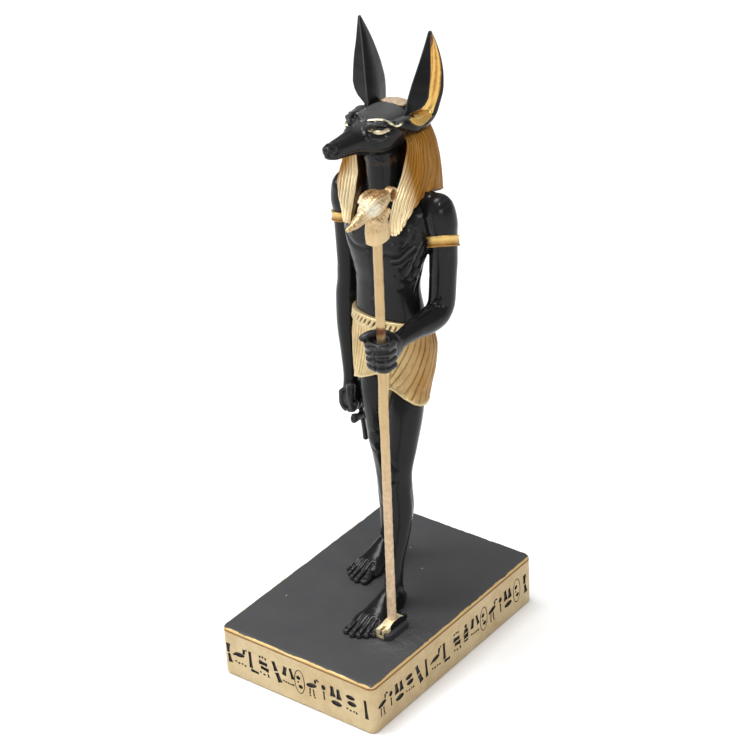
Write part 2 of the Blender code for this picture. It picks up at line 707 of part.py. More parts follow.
def make_figure(mat):
    shells = torso() + chest_muscles() + legs() + feet() + arms()
    shells += left_fist() + right_fist() + ankh() + kilt() + head() + wig()
    shells += [ear(-1), ear(1)]
    obj = joined("figure", shells)
    merged(obj, VOXEL, 1, FIGURE_TRIANGLES)
    ground = box("ground", (-60, 60), (-60, 60), (-20, SOLE_Z))
    boolean(obj, ground, "DIFFERENCE")
    boolean(obj, rod_tube("bore", BORE_D, 120.0, 176.0), "DIFFERENCE")
    room = box("pad_room", (PAD_X[0] - GAP, 40), (PAD_Y[0] - GAP, PAD_Y[1] + GAP), (0, PLINTH_H + 8))
    boolean(obj, room, "DIFFERENCE")
    tidy(obj)
    obj.data.materials.clear()
    obj.data.materials.append(mat)
    obj.data.shade_smooth()
    obj.data.set_sharp_from_angle(angle=math.radians(40))
    return obj


def make_plinth(mat):
    """Block with rounded upright corners and eased edges, and the low pad under the staff."""
    steps = 5
    rings = []
    edge = PLINTH_EDGE_R
    for z, inset in ((0.0, edge), (0.3 * edge, 0.3 * edge), (edge, 0.0), (PLINTH_H - edge, 0.0),
                     (PLINTH_H - 0.3 * edge, 0.3 * edge), (PLINTH_H, edge)):
        hx = PLINTH_W / 2 - inset
        hy = PLINTH_L / 2 - inset
        r = PLINTH_CORNER_R - inset * 0.6
        ring = []
        for cx, cy, a0 in ((1, 1, 0), (-1, 1, 90), (-1, -1, 180), (1, -1, 270)):
            for k in range(steps + 1):
                a = math.radians(a0 + 90 * k / steps)
                ring.append((cx * (hx - r) + r * math.cos(a), cy * (hy - r) + r * math.sin(a), z))
        rings.append(ring)
    obj = skin(rings, "plinth")
    pad = box("pad", PAD_X, PAD_Y, (PLINTH_H - 1.0, PLINTH_H + PAD_H))
    bm = bmesh.new()
    bm.from_mesh(pad.data)
    upright = [e for e in bm.edges if abs(e.verts[0].co.z - e.verts[1].co.z) > 0.5 * MM]
    bmesh.ops.bevel(bm, geom=upright, offset=1.6 * MM, segments=3, affect="EDGES", profile=0.5)
    bm.to_mesh(pad.data)
    bm.free()
    boolean(obj, pad, "UNION")
    tidy(obj)
    obj.data.materials.clear()
    obj.data.materials.append(mat)
    obj.data.shade_smooth()
    obj.data.set_sharp_from_angle(angle=math.radians(35))
    return obj


def make_sceptre(mat):
    """Animal-headed staff: long snout, cupped ear, tapering collar, round rod and forked foot."""
    hx, hy = ROD_HEAD
    z = ROD_HEAD_Z
    shells = [
        limb("collar", [
            (hx, hy, z, 3.4, 5.2, 5.0, 2.6),
            (hx, hy - 0.2, z + 4.0, 3.3, 5.0, 4.8, 2.6),
            (hx, hy - 0.4, z + 9.0, 2.8, 4.0, 4.2, 2.4),
            (hx, hy - 0.8, z + 13.0, 2.8, 4.0, 4.4, 2.2),
        ], round_ends=False),
        limb("skull", [
            (hx, hy - 6.8, z + 13.6, 3.0, 3.6, 3.4, 2.0),
            (hx, hy - 3.0, z + 14.4, 4.0, 4.4, 4.6, 2.0),
            (hx, hy + 1.6, z + 15.0, 3.6, 4.2, 4.0, 2.0),
            (hx, hy + 4.6, z + 15.2, 2.6, 3.0, 2.8, 2.0),
        ]),
        limb("snout", [
            (hx, hy - 17.2, z + 10.9, 0.8, 0.8, 0.8, 2.0),
            (hx, hy - 13.5, z + 11.4, 1.6, 1.6, 1.6, 2.0),
            (hx, hy - 9.5, z + 12.4, 2.2, 2.5, 2.4, 2.0),
            (hx, hy - 5.5, z + 13.4, 2.9, 3.4, 3.2, 2.0),
        ], step=1.5, sides=20),
    ]
    for s in (-1, 1):
        shells.append(limb("brow", [
            (hx + s * 2.3, hy - 7.2, z + 16.0, 0.9, 0.9, 0.9, 2.0),
            (hx + s * 3.2, hy - 4.8, z + 17.4, 1.1, 1.1, 1.1, 2.0),
            (hx + s * 3.4, hy - 1.6, z + 17.4, 0.9, 0.9, 0.9, 2.0),
        ], step=1.2, sides=12))
    disc = []
    for dx, r in ((-1.5, 1.7), (-1.0, 2.4), (1.0, 2.5), (1.7, 2.4), (1.7, 1.6), (0.9, 1.2)):
        disc.append([(hx + dx, hy + 8.0 + r * math.cos(2 * math.pi * i / 20),
                      z + 14.9 + r * math.sin(2 * math.pi * i / 20)) for i in range(20)])
    shells.append(skin(disc, "ear"))
    top = joined("sceptre", shells)
    merged(top, 0.55, 1, 1300)
    rod = rod_tube("rod", ROD_D, ROD_FOOT_Z + 1.2, ROD_HEAD_Z + 3.0)
    boolean(top, rod, "UNION")
    fx, fy = ROD_FOOT
    z0 = ROD_FOOT_Z
    prongs = []
    for y, half, h in ((-5.6, FOOT_HALF_W, 2.0), (-2.2, 2.2, 2.5), (2.2, 2.2, 2.5), (5.8, FOOT_HALF_W, 2.0)):
        prongs.append([(fx - half, fy + y, z0), (fx + half, fy + y, z0),
                       (fx + half - 0.3, fy + y, z0 + h), (fx - half + 0.3, fy + y, z0 + h)])
    base = skin(prongs, "base")
    boolean(top, base, "UNION")
    for y in (-6.6, 6.8):
        notch = box("notch", (fx - 0.75, fx + 0.75), (fy + y - 1.6, fy + y + 1.6), (z0 - 1, z0 + 5))
        boolean(top, notch, "DIFFERENCE")
    tidy(top)
    top.data.materials.clear()
    top.data.materials.append(mat)
    top.data.shade_smooth()
    top.data.set_sharp_from_angle(angle=math.radians(40))
    return top


clear_scene()
black = material("black_resin", (0.012, 0.012, 0.013), 0.32, 0.0)
stone = material("plinth_black_gold", (0.03, 0.03, 0.032), 0.6, 0.0)
gold = material("pale_gold", (0.72, 0.52, 0.27), 0.45, 0.6)
make_plinth(stone)
make_figure(black)
make_sceptre(gold)
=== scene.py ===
"""Looks of the jackal-headed statue: finer relief, paint and light round the fixed frame.

Lengths in the helpers are millimetres; meshes are written in metres.
"""
import math

import bmesh
import bpy
import numpy as np
from mathutils import Matrix, Vector
from mathutils.bvhtree import BVHTree


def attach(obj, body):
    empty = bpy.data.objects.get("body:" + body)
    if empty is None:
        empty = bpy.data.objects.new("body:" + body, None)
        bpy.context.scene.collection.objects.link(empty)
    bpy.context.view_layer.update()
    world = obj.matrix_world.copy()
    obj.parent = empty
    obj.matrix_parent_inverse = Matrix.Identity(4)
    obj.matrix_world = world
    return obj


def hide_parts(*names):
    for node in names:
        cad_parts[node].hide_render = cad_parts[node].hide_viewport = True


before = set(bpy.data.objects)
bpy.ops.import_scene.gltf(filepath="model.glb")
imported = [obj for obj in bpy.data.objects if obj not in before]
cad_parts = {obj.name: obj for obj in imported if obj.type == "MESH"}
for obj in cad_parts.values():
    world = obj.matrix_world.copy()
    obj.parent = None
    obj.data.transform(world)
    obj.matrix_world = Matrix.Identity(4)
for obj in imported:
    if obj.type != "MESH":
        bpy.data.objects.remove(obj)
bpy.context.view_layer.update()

MM = 0.001
TAU = 2 * math.pi
FRAME = 750.0
LENS = 110.4
SENSOR = 36.0
FOCAL = LENS / SENSOR * FRAME
PLINTH_L = 110.0
PLINTH_W = 75.5
SOLE_Z = 22.5
WIG_AXIS = 22.2
CAP_FRONT = 20.7
CAP_SLANT = 0.4
CAP_Z = 224.0

# Stations: x, y, z, half width, low depth, high depth, power; see station()
RIGHT_LEG = [
    (-12.0, 23.4, 24.0, 4.2, 5.0, 4.8),
    (-11.7, 23.4, 33.0, 3.4, 3.8, 4.2),
    (-11.3, 23.6, 42.0, 3.6, 3.6, 4.3),
    (-10.7, 23.4, 54.0, 4.8, 4.0, 6.0),
    (-10.1, 22.6, 65.0, 5.4, 4.4, 6.6),
    (-9.9, 21.2, 74.0, 5.3, 5.0, 5.6),
    (-9.8, 20.2, 81.0, 5.7, 6.0, 5.2),
    (-9.7, 19.3, 92.0, 6.4, 6.6, 6.8),
    (-9.2, 18.4, 106.0, 7.3, 7.6, 8.0),
    (-8.2, 18.0, 119.0, 6.9, 7.0, 7.4),
]
LEFT_LEG = [
    (12.0, -5.2, 24.0, 4.3, 5.2, 4.4),
    (12.0, -5.2, 33.0, 3.5, 4.2, 4.0),
    (11.8, -3.9, 42.0, 3.7, 4.0, 3.9),
    (11.3, -0.4, 54.0, 4.9, 4.4, 5.2),
    (10.7, 2.6, 64.0, 5.5, 5.2, 5.9),
    (10.0, 4.0, 73.0, 5.3, 5.8, 4.8),
    (9.5, 4.8, 80.0, 5.6, 6.6, 4.3),
    (9.4, 7.4, 90.0, 6.2, 6.8, 5.8),
    (8.9, 11.2, 105.0, 7.2, 7.4, 7.8),
    (8.2, 15.4, 119.0, 6.9, 6.6, 7.4),
]
THIGHS = (LEFT_LEG[-3:], RIGHT_LEG[-3:])
ROD_FOOT = (21.5, -19.4)
ROD_HEAD = (21.5, -16.9)
ROD_FOOT_Z = 25.5
ROD_HEAD_Z = 192.0


def make_camera():
    """Camera at the photograph's place: 110 mm lens, looking down at about 29 degrees."""
    right = Vector((0.7998, 0.5986, -0.0446)).normalized()
    up = Vector((-0.2603, 0.4127, 0.8729))
    up = (up - right * up.dot(right)).normalized()
    back = right.cross(up).normalized()
    place = Vector((2.025, 2.024, 121.769)) * MM + back * 0.885152
    data = bpy.data.cameras.new("camera")
    data.sensor_width = SENSOR
    data.lens = LENS
    data.clip_start = 0.01
    cam = bpy.data.objects.new("camera", data)
    bpy.context.collection.objects.link(cam)
    cam.matrix_world = Matrix((
        (right.x, up.x, back.x, place.x),
        (right.y, up.y, back.y, place.y),
        (right.z, up.z, back.z, place.z),
        (0.0, 0.0, 0.0, 1.0)))
    bpy.context.scene.camera = cam
    return place, right, up, back


EYE, RIGHT, UP, BACK = make_camera()


# Lofts and mesh tools

def slopes(x, y):
    h = np.diff(x)
    d = np.diff(y, axis=0) / h[:, None]
    m = np.zeros_like(y)
    for k in range(1, len(x) - 1):
        a = d[k - 1]
        b = d[k]
        w1 = 2 * h[k] + h[k - 1]
        w2 = h[k] + 2 * h[k - 1]
        safe = a * b > 0
        aa = np.where(safe, a, 1.0)
        bb = np.where(safe, b, 1.0)
        m[k] = np.where(safe, (w1 + w2) / (w1 / aa + w2 / bb), 0.0)
    m[0] = d[0]
    m[-1] = d[-1]
    return m


def smooth_rows(rows, step):
    rows = np.array(rows, dtype=float)
    chord = np.linalg.norm(np.diff(rows[:, :3], axis=0), axis=1)
    at = np.concatenate([[0.0], np.cumsum(np.maximum(chord, 1e-6))])
    m = slopes(at, rows)
    out = []
    for k in range(len(rows) - 1):
        parts = max(1, int(round(chord[k] / step)))
        h = at[k + 1] - at[k]
        for j in range(parts):
            t = j / parts
            a = (1 + 2 * t) * (1 - t) ** 2
            b = t * (1 - t) ** 2
            c = t * t * (3 - 2 * t)
            d = t * t * (t - 1)
            out.append(a * rows[k] + b * h * m[k] + c * rows[k + 1] + d * h * m[k + 1])
    out.append(rows[-1])
    return np.array(out)


def oval(t, wide, low, high, power):
    c = math.cos(t)
    s = math.sin(t)
    u = math.copysign(abs(c) ** (2.0 / power), c) * wide
    v = math.copysign(abs(s) ** (2.0 / power), s)
    return u, v * (high if v > 0 else low)


def link(name, mesh):
    obj = bpy.data.objects.new(name, mesh)
    bpy.context.collection.objects.link(obj)
    return obj


def skin(rings, name):
    """Closed mesh through rings of points, with a fan on each end."""
    count = len(rings[0])
    pts = np.array([p for ring in rings for p in ring], dtype=float)
    ends = np.array([np.mean(rings[0], axis=0), np.mean(rings[-1], axis=0)])
    verts = np.vstack([pts, ends]) * MM
    faces = []
    for k in range(len(rings) - 1):
        a = k * count
        b = a + count
        for i in range(count):
            j = (i + 1) % count
            faces.append((a + i, a + j, b + j, b + i))
    low = len(pts)
    last = (len(rings) - 1) * count
    for i in range(count):
        j = (i + 1) % count
        faces.append((j, i, low))
        faces.append((last + i, last + j, low + 1))
    mesh = bpy.data.meshes.new(name)
    mesh.from_pydata(verts.tolist(), [], faces)
    bm = bmesh.new()
    bm.from_mesh(mesh)
    bmesh.ops.recalc_face_normals(bm, faces=bm.faces)
    bm.to_mesh(mesh)
    bm.free()
    return link(name, mesh)


def frames(path):
    path = np.array(path)
    out = []
    for k in range(len(path)):
        a = path[max(k - 1, 0)]
        b = path[min(k + 1, len(path) - 1)]
        along = Vector(b - a).normalized()
        side = Vector((1.0, 0.0, 0.0))
        side = (side - along * side.dot(along)).normalized()
        out.append((side, along.cross(side).normalized()))
    return out


def station(x, y, z, wide, low=None, high=None, power=2.0):
    """Full row of a loft: depths that aren't given are the width's, or the low one's."""
    low = wide if low is None else low
    return x, y, z, wide, low, low if high is None else high, power


def limb(name, rows, step=1.0, sides=40, round_ends=True):
    """Loft along stations (x, y, z, half width, low depth, high depth, power)."""
    rows = smooth_rows([station(*row) for row in rows], step)
    axes = frames(rows[:, :3])
    rings = []
    for row, (side, deep) in zip(rows, axes):
        ring = []
        for i in range(sides):
            u, v = oval(TAU * i / sides, row[3], row[4], row[5], row[6])
            ring.append(Vector(row[:3]) + side * u + deep * v)
        rings.append(ring)
    if round_ends:
        for end in (0, -1):
            row = rows[end]
            side, deep = axes[end]
            nose = Vector(rows[end][:3] - rows[1 if end == 0 else -2][:3]).normalized()
            reach = 0.8 * min(row[3], (row[4] + row[5]) / 2)
            caps = []
            for k in range(1, 6):
                a = k * math.pi / 12
                ring = []
                for i in range(sides):
                    u, v = oval(TAU * i / sides, row[3], row[4], row[5], row[6])
                    flat = (side * u + deep * v) * math.cos(a)
                    ring.append(Vector(row[:3]) + flat + nose * reach * math.sin(a))
                caps.append(ring)
            rings = caps[::-1] + rings if end == 0 else rings + caps
    return skin(rings, name)


def placed(rows, x, y, z):
    """Stations given as offsets from a place."""
    return [(x + row[0], y + row[1], z + row[2], *row[3:]) for row in rows]


def blob(name, centre, radii, turn=0.0, sides=36):
    c = np.array(centre)
    rings = []
    count = sides // 2
    for k in range(1, count):
        a = math.pi * k / count
        ring = []
        for i in range(sides):
            t = TAU * i / sides
            x = radii[0] * math.sin(a) * math.cos(t)
            y = radii[1] * math.sin(a) * math.sin(t)
            ring.append(c + np.array((x * math.cos(turn) - y * math.sin(turn),
                                      x * math.sin(turn) + y * math.cos(turn),
                                      -radii[2] * math.cos(a))))
        rings.append(ring)
    return skin(rings, name)


def block(name, x, y, z, bevel=0.0, segments=2):
    bm = bmesh.new()
    bmesh.ops.create_cube(bm, size=1.0)
    for v in bm.verts:
        v.co.x = ((x[0] + x[1]) / 2 + v.co.x * (x[1] - x[0])) * MM
        v.co.y = ((y[0] + y[1]) / 2 + v.co.y * (y[1] - y[0])) * MM
        v.co.z = ((z[0] + z[1]) / 2 + v.co.z * (z[1] - z[0])) * MM
    if bevel:
        bmesh.ops.bevel(bm, geom=bm.edges[:], offset=bevel * MM, segments=segments,
                        affect="EDGES", profile=0.5)
    mesh = bpy.data.meshes.new(name)
    bm.to_mesh(mesh)
    bm.free()
    return link(name, mesh)


def applied(obj):
    graph = bpy.context.evaluated_depsgraph_get()
    mesh = bpy.data.meshes.new_from_object(obj.evaluated_get(graph))
    old = obj.data
    obj.modifiers.clear()
    obj.data = mesh
    bpy.data.meshes.remove(old)
    return obj


def boolean(obj, other, operation="DIFFERENCE", solver="MANIFOLD", crossing=False):
    mod = obj.modifiers.new("cut", "BOOLEAN")
    mod.use_self = crossing
    mod.operation = operation
    mod.object = other
    mod.solver = solver
    bpy.context.view_layer.update()
    applied(obj)
    bpy.data.objects.remove(other, do_unlink=True)
    return obj


def joined(name, objects):
    bm = bmesh.new()
    for obj in objects:
        bm.from_mesh(obj.data)
        bpy.data.objects.remove(obj, do_unlink=True)
    mesh = bpy.data.meshes.new(name)
    bm.to_mesh(mesh)
    bm.free()
    return link(name, mesh)


def merged(name, shells, voxel, smooth):
    """One skin over overlapping shells, softened a little."""
    obj = joined(name, shells)
    mod = obj.modifiers.new("merge", "REMESH")
    mod.mode = "VOXEL"
    mod.voxel_size = voxel * MM
    applied(obj)
    soften = obj.modifiers.new("soften", "SMOOTH")
    soften.factor = 0.5
    soften.iterations = smooth
    applied(obj)
    obj.name = name
    return obj


def coords(obj):
    out = np.empty(len(obj.data.vertices) * 3)
    obj.data.vertices.foreach_get("co", out)
    return out.reshape(-1, 3) / MM


def put_coords(obj, pts):
    obj.data.vertices.foreach_set("co", (pts * MM).ravel())
    obj.data.update()


def normals(obj):
    out = np.empty(len(obj.data.vertices) * 3)
    obj.data.vertices.foreach_get("normal", out)
    return out.reshape(-1, 3)


def attribute(obj, name, values):
    found = obj.data.attributes.get(name)
    if found is None:
        found = obj.data.attributes.new(name, "FLOAT", "POINT")
    found.data.foreach_set("value", np.asarray(values, dtype=np.float32))


def neighbours(obj):
    e = np.empty(len(obj.data.edges) * 2, dtype=np.int64)
    obj.data.edges.foreach_get("vertices", e)
    return e.reshape(-1, 2)


def cavity(obj, rounds, scale):
    """Above 0.5 in hollows, below it on ridges."""
    pts = coords(obj)
    e = neighbours(obj)
    n = len(pts)
    valence = np.bincount(e.ravel(), minlength=n).clip(1)
    soft = pts.copy()
    for _ in range(rounds):
        total = np.zeros_like(soft)
        for c in range(3):
            total[:, c] = (np.bincount(e[:, 0], soft[e[:, 1], c], minlength=n)
                           + np.bincount(e[:, 1], soft[e[:, 0], c], minlength=n))
        soft = 0.4 * soft + 0.6 * total / valence[:, None]
    d = ((soft - pts) * normals(obj)).sum(1)
    return (0.5 + d / scale).clip(0.0, 1.0)


def bvh(obj):
    bm = bmesh.new()
    bm.from_mesh(obj.data)
    tree = BVHTree.FromBMesh(bm)
    bm.free()
    return tree


def pick(tree, u, v):
    """Point of the surface behind a place in the 750 by 750 frame."""
    way = (RIGHT * ((u - FRAME / 2) / FOCAL) - UP * ((v - FRAME / 2) / FOCAL) - BACK).normalized()
    hit = tree.ray_cast(EYE, way)[0]
    return None if hit is None else np.array(hit) / MM


def dense(points, step):
    points = np.array(points, dtype=float)
    out = []
    for a, b in zip(points, points[1:]):
        parts = max(1, int(math.ceil(np.linalg.norm(b - a) / step)))
        for j in range(parts):
            out.append(a + (b - a) * j / parts)
    out.append(points[-1])
    return np.array(out)


def curve(points, step):
    """Catmull-Rom curve through the points."""
    p = np.array(points, dtype=float)
    if len(p) < 3:
        return dense(p, step)
    p = np.vstack([2 * p[0] - p[1], p, 2 * p[-1] - p[-2]])
    out = []
    for k in range(1, len(p) - 2):
        parts = max(1, int(math.ceil(np.linalg.norm(p[k + 1] - p[k]) / step)))
        for j in range(parts):
            t = j / parts
            out.append(0.5 * (2 * p[k] + (p[k + 1] - p[k - 1]) * t
                              + (2 * p[k - 1] - 5 * p[k] + 4 * p[k + 1] - p[k + 2]) * t * t
                              + (3 * p[k] - p[k - 1] - 3 * p[k + 1] + p[k + 2]) * t ** 3))
    out.append(p[-2])
    return np.array(out)


def traced(tree, frame_points, mirror=False):
    """Surface points under a curve drawn in the frame, and their mirror images if asked."""
    found = [pick(tree, u, v) for u, v in curve(frame_points, 0.8)]
    found = np.array([p for p in found if p is not None])
    if mirror:
        return [found, found * np.array((-1.0, 1.0, 1.0))]
    return [found]


def dropped(tree, line, step=0.5):
    """Surface points straight below a line of (x, y, z)."""
    out = []
    for p in curve(line, step):
        hit = tree.ray_cast(Vector(p) * MM, Vector((0, 0, -1)))[0]
        if hit is not None:
            out.append(np.array(hit) / MM)
    return np.array(out)


def snapped(tree, line, step=0.5):
    """Nearest surface points to a line."""
    return np.array([np.array(tree.find_nearest(Vector(p) * MM)[0]) / MM for p in curve(line, step)])


def reach(pts, line, margin):
    """Distance of each point to the line, kept to the margin."""
    lo = line.min(0) - margin
    hi = line.max(0) + margin
    idx = np.nonzero(((pts > lo) & (pts < hi)).all(1))[0]
    out = np.full(len(pts), float(margin))
    if len(idx):
        q = pts[idx]
        near = np.full(len(idx), float(margin))
        for p in line:
            near = np.minimum(near, np.linalg.norm(q - p, axis=1))
        out[idx] = near
    return out


class Sculpt:
    """Moves a mesh along its normals by strokes, and keeps paint masks beside it."""

    def __init__(self, obj):
        self.obj = obj
        self.pts = coords(obj)
        self.nor = normals(obj)
        self.tree = bvh(obj)
        self.shift = np.zeros(len(self.pts))
        self.masks = {}

    def stroke(self, lines, width, height):
        for line in lines:
            if len(line) == 0:
                continue
            d = reach(self.pts, line, width * 3.2)
            self.shift += height * np.exp(-(d / width) ** 2) * (d < width * 3.2)

    def trace(self, line, width, height, mirror=False):
        self.stroke(traced(self.tree, line, mirror), width, height)

    def snap(self, line, width, height):
        self.stroke([snapped(self.tree, line)], width, height)

    def bump(self, centre, radii, height):
        d = (((self.pts - np.array(centre, dtype=float)) / radii) ** 2).sum(1)
        self.shift += height * np.exp(-d)

    def paint(self, mask, lines, width, soft, level=1.0):
        have = self.masks.setdefault(mask, np.zeros(len(self.pts)))
        for line in lines:
            if len(line) == 0:
                continue
            d = reach(self.pts, line, width + soft + 0.5)
            have[:] = np.maximum(have, level * ((width + soft - d) / (2 * soft)).clip(0, 1))

    def erase(self, mask, lines, width, soft):
        have = self.masks.setdefault(mask, np.zeros(len(self.pts)))
        for line in lines:
            if len(line) == 0:
                continue
            d = reach(self.pts, line, width + soft + 0.5)
            have[:] = np.minimum(have, 1 - ((width + soft - d) / (2 * soft)).clip(0, 1))

    def done(self):
        put_coords(self.obj, self.pts + self.nor * self.shift[:, None])
        for name, values in self.masks.items():
            attribute(self.obj, name, values)


def smooth_noise(pts, scale, seed):
    """Cheap soft noise from a few waves, -1 to 1."""
    rng = np.random.default_rng(seed)
    total = np.zeros(len(pts))
    for _ in range(7):
        way = rng.normal(size=3)
        way /= np.linalg.norm(way)
        total += np.sin(pts @ way * (TAU / scale) * rng.uniform(0.6, 1.6) + rng.uniform(0, 6.28))
    return total / 4.0


def finished(obj, mats, angle=180.0, **masks):
    """Adds paint masks and materials, and smooths all edges that turn less than the angle."""
    for name, values in masks.items():
        attribute(obj, name, values)
    obj.data.shade_smooth()
    if angle < 180.0:
        obj.data.set_sharp_from_angle(angle=math.radians(angle))
    obj.data.materials.clear()
    for mat in mats:
        obj.data.materials.append(mat)
    return obj


def eased(t):
    return t * t * (3 - 2 * t)


def bell(reach_out, count):
    """Weights of a bell curve that add up to 1."""
    out = np.exp(-np.linspace(-reach_out, reach_out, count) ** 2)
    return out / out.sum()


def smeared(values, weights, wrap=False):
    """Running mean of a row; its ends are held, or joined where it wraps."""
    n = len(weights) // 2
    ends = (values[-n:], values[:n]) if wrap else (np.full(n, values[0]), np.full(n, values[-1]))
    return np.convolve(np.concatenate([ends[0], values, ends[1]]), weights, "valid")


# Materials

class Net:
    def __init__(self, name):
        self.mat = bpy.data.materials.new(name)
        self.mat.use_nodes = True
        self.t = self.mat.node_tree
        self.shader = self.t.nodes["Principled BSDF"]
        self.coord = self.t.nodes.new("ShaderNodeTexCoord").outputs["Object"]

    def put(self, value, socket):
        if isinstance(value, bpy.types.NodeSocket):
            self.t.links.new(value, socket)
        elif isinstance(value, tuple):
            socket.default_value = (*value, 1.0)
        else:
            socket.default_value = value

    def set(self, socket, value):
        self.put(value, self.shader.inputs[socket])

    def noise(self, scale, detail=3.0, rough=0.5):
        node = self.t.nodes.new("ShaderNodeTexNoise")
        self.t.links.new(self.coord, node.inputs["Vector"])
        node.inputs["Scale"].default_value = scale
        node.inputs["Detail"].default_value = detail
        node.inputs["Roughness"].default_value = rough
        return node.outputs["Fac"]

    def cells(self, scale):
        node = self.t.nodes.new("ShaderNodeTexVoronoi")
        self.t.links.new(self.coord, node.inputs["Vector"])
        node.inputs["Scale"].default_value = scale
        return node.outputs["Distance"]

    def attr(self, name):
        node = self.t.nodes.new("ShaderNodeAttribute")
        node.attribute_name = name
        return node.outputs["Fac"]

    def calc(self, op, a, b=0.0):
        node = self.t.nodes.new("ShaderNodeMath")
        node.operation = op
        self.put(a, node.inputs[0])
        self.put(b, node.inputs[1])
        return node.outputs[0]

    def add(self, a, b):
        return self.calc("ADD", a, b)

    def sub(self, a, b):
        return self.calc("SUBTRACT", a, b)

    def mul(self, a, b):
        return self.calc("MULTIPLY", a, b)

    def ramp(self, fac, lo, hi, a=0.0, b=1.0):
        node = self.t.nodes.new("ShaderNodeMapRange")
        node.interpolation_type = "SMOOTHSTEP"
        self.put(fac, node.inputs["Value"])
        self.put(lo, node.inputs["From Min"])
        self.put(hi, node.inputs["From Max"])
        self.put(a, node.inputs["To Min"])
        self.put(b, node.inputs["To Max"])
        return node.outputs["Result"]

    def mix(self, fac, a, b):
        node = self.t.nodes.new("ShaderNodeMix")
        node.data_type = "RGBA"
        self.put(fac, node.inputs[0])
        self.put(a, node.inputs[6])
        self.put(b, node.inputs[7])
        return node.outputs[2]

    def blend(self, fac, a, b):
        node = self.t.nodes.new("ShaderNodeMix")
        node.data_type = "FLOAT"
        self.put(fac, node.inputs[0])
        self.put(a, node.inputs[2])
        self.put(b, node.inputs[3])
        return node.outputs[0]

    def axes(self):
        node = self.t.nodes.new("ShaderNodeSeparateXYZ")
        self.t.links.new(self.coord, node.inputs[0])
        return node.outputs

    def bump(self, height, strength, distance, after=None):
        node = self.t.nodes.new("ShaderNodeBump")
        node.inputs["Strength"].default_value = strength
        node.inputs["Distance"].default_value = distance
        self.put(height, node.inputs["Height"])
        if after is not None:
            self.t.links.new(after, node.inputs["Normal"])
        return node.outputs["Normal"]


PALE_GOLD = (0.88, 0.66, 0.34)
MID_GOLD = (0.62, 0.36, 0.10)
DEEP_GOLD = (0.22, 0.085, 0.018)
AMBER = (0.30, 0.135, 0.020)
DARK_AMBER = (0.21, 0.085, 0.012)
BLACK = (0.006, 0.006, 0.0065)
SOFT_BLACK = (0.011, 0.011, 0.012)
SCUFF = (0.060, 0.060, 0.063)
HAZE = (0.045, 0.045, 0.047)
BROWN = (0.14, 0.06, 0.022)
DUST_AND_SHEEN = (0.10, 0.102, 0.10)
SAND = (0.50, 0.385, 0.27)
DARK_SAND = (0.36, 0.255, 0.17)
# dark brown of painted shade on the gold
SHADE_BROWN = (0.035, 0.014, 0.006)


def gold_paint(net, pale=PALE_GOLD, mid=MID_GOLD, deep=DEEP_GOLD, warm=0.5, level=0.76):
    """Colour, metal share, roughness and streaks of worn gold paint; the hollow mask paints shade into
    hollows, and deep is amber, partly tone and partly painted shade.
    """
    pale, mid, deep = [tuple(level * c for c in colour) for colour in (pale, mid, deep)]
    cav = net.attr("cav")
    amber = net.attr("deep")
    blotch = net.noise(90.0, 4.0, 0.6)
    streak = net.noise(600.0, 3.0, 0.6)
    tone = net.add(net.mul(blotch, 0.9), net.mul(streak, 0.35))
    # the amber mask, partly the paint's tone and partly painted shade, turns the paint amber
    pale = net.mix(amber, pale, AMBER)
    mid = net.mix(amber, mid, DARK_AMBER)
    shift = 0.3 * (1 - warm)
    body = net.mix(net.ramp(tone, 0.45 + shift, 0.95 + shift), pale, mid)
    # painted shade: the hollow mask darkens hollows and grooves to mid and then deep gold, with less metal
    hollow = net.add(cav, net.mul(net.sub(streak, 0.5), 0.35))
    colour = net.mix(net.ramp(hollow, 0.46, 0.72), body, mid)
    colour = net.mix(net.ramp(hollow, 0.64, 0.96), colour, deep)
    metal = net.mul(net.ramp(hollow, 0.6, 1.0, 0.75, 0.35), net.blend(amber, 1.0, 0.45))
    rough = net.add(net.blend(blotch, 0.28, 0.44), net.mul(amber, 0.10))
    return colour, metal, rough, streak


def black_material(name="black_satin", paint=()):
    """Black satin resin with gold paint, brown dry-brushing, dust with painted sheen, and scuffed edges from
    its masks.
    """
    net = Net(name)
    fine = net.noise(900.0, 3.0, 0.6)
    broad = net.noise(70.0, 4.0, 0.6)
    black = net.mix(broad, BLACK, SOFT_BLACK)
    black = net.mix(net.ramp(net.attr("edge"), 0.42, 0.16, 0.0, 0.6), black, SCUFF)
    black = net.mix(net.ramp(net.add(broad, net.mul(fine, 0.5)), 0.92, 1.12, 0.0, 0.35), black, HAZE)
    brown = net.mul(net.attr("brown"), net.ramp(net.noise(500.0, 4.0, 0.7), 0.35, 0.65))
    black = net.mix(brown, black, BROWN)
    # dust and painted sheen on the head's upper surfaces, and a painted highlight along the ear's keel
    dust = net.mul(net.attr("dust"), net.ramp(broad, 0.25, 0.75, 0.6, 1.0))
    black = net.mix(dust, black, DUST_AND_SHEEN)
    gold, metal, rough, streak = gold_paint(net, *paint)
    mask = net.ramp(net.add(net.attr("gold"), net.mul(net.sub(fine, 0.5), 0.25)), 0.40, 0.60)
    sand = net.attr("sand")
    black = net.mix(sand, black, net.mix(net.ramp(streak, 0.35, 0.65), SAND, DARK_SAND))
    net.set("Base Color", net.mix(mask, black, gold))
    net.set("Metallic", net.mul(mask, metal))
    satin = net.blend(sand, net.blend(broad, 0.13, 0.26), 0.62)
    net.set("Roughness", net.blend(mask, satin, rough))
    net.set("Specular IOR Level", 0.20)
    net.set("Normal", net.bump(fine, 0.08, 0.0003, net.bump(broad, 0.16, 0.002)))
    return net.mat


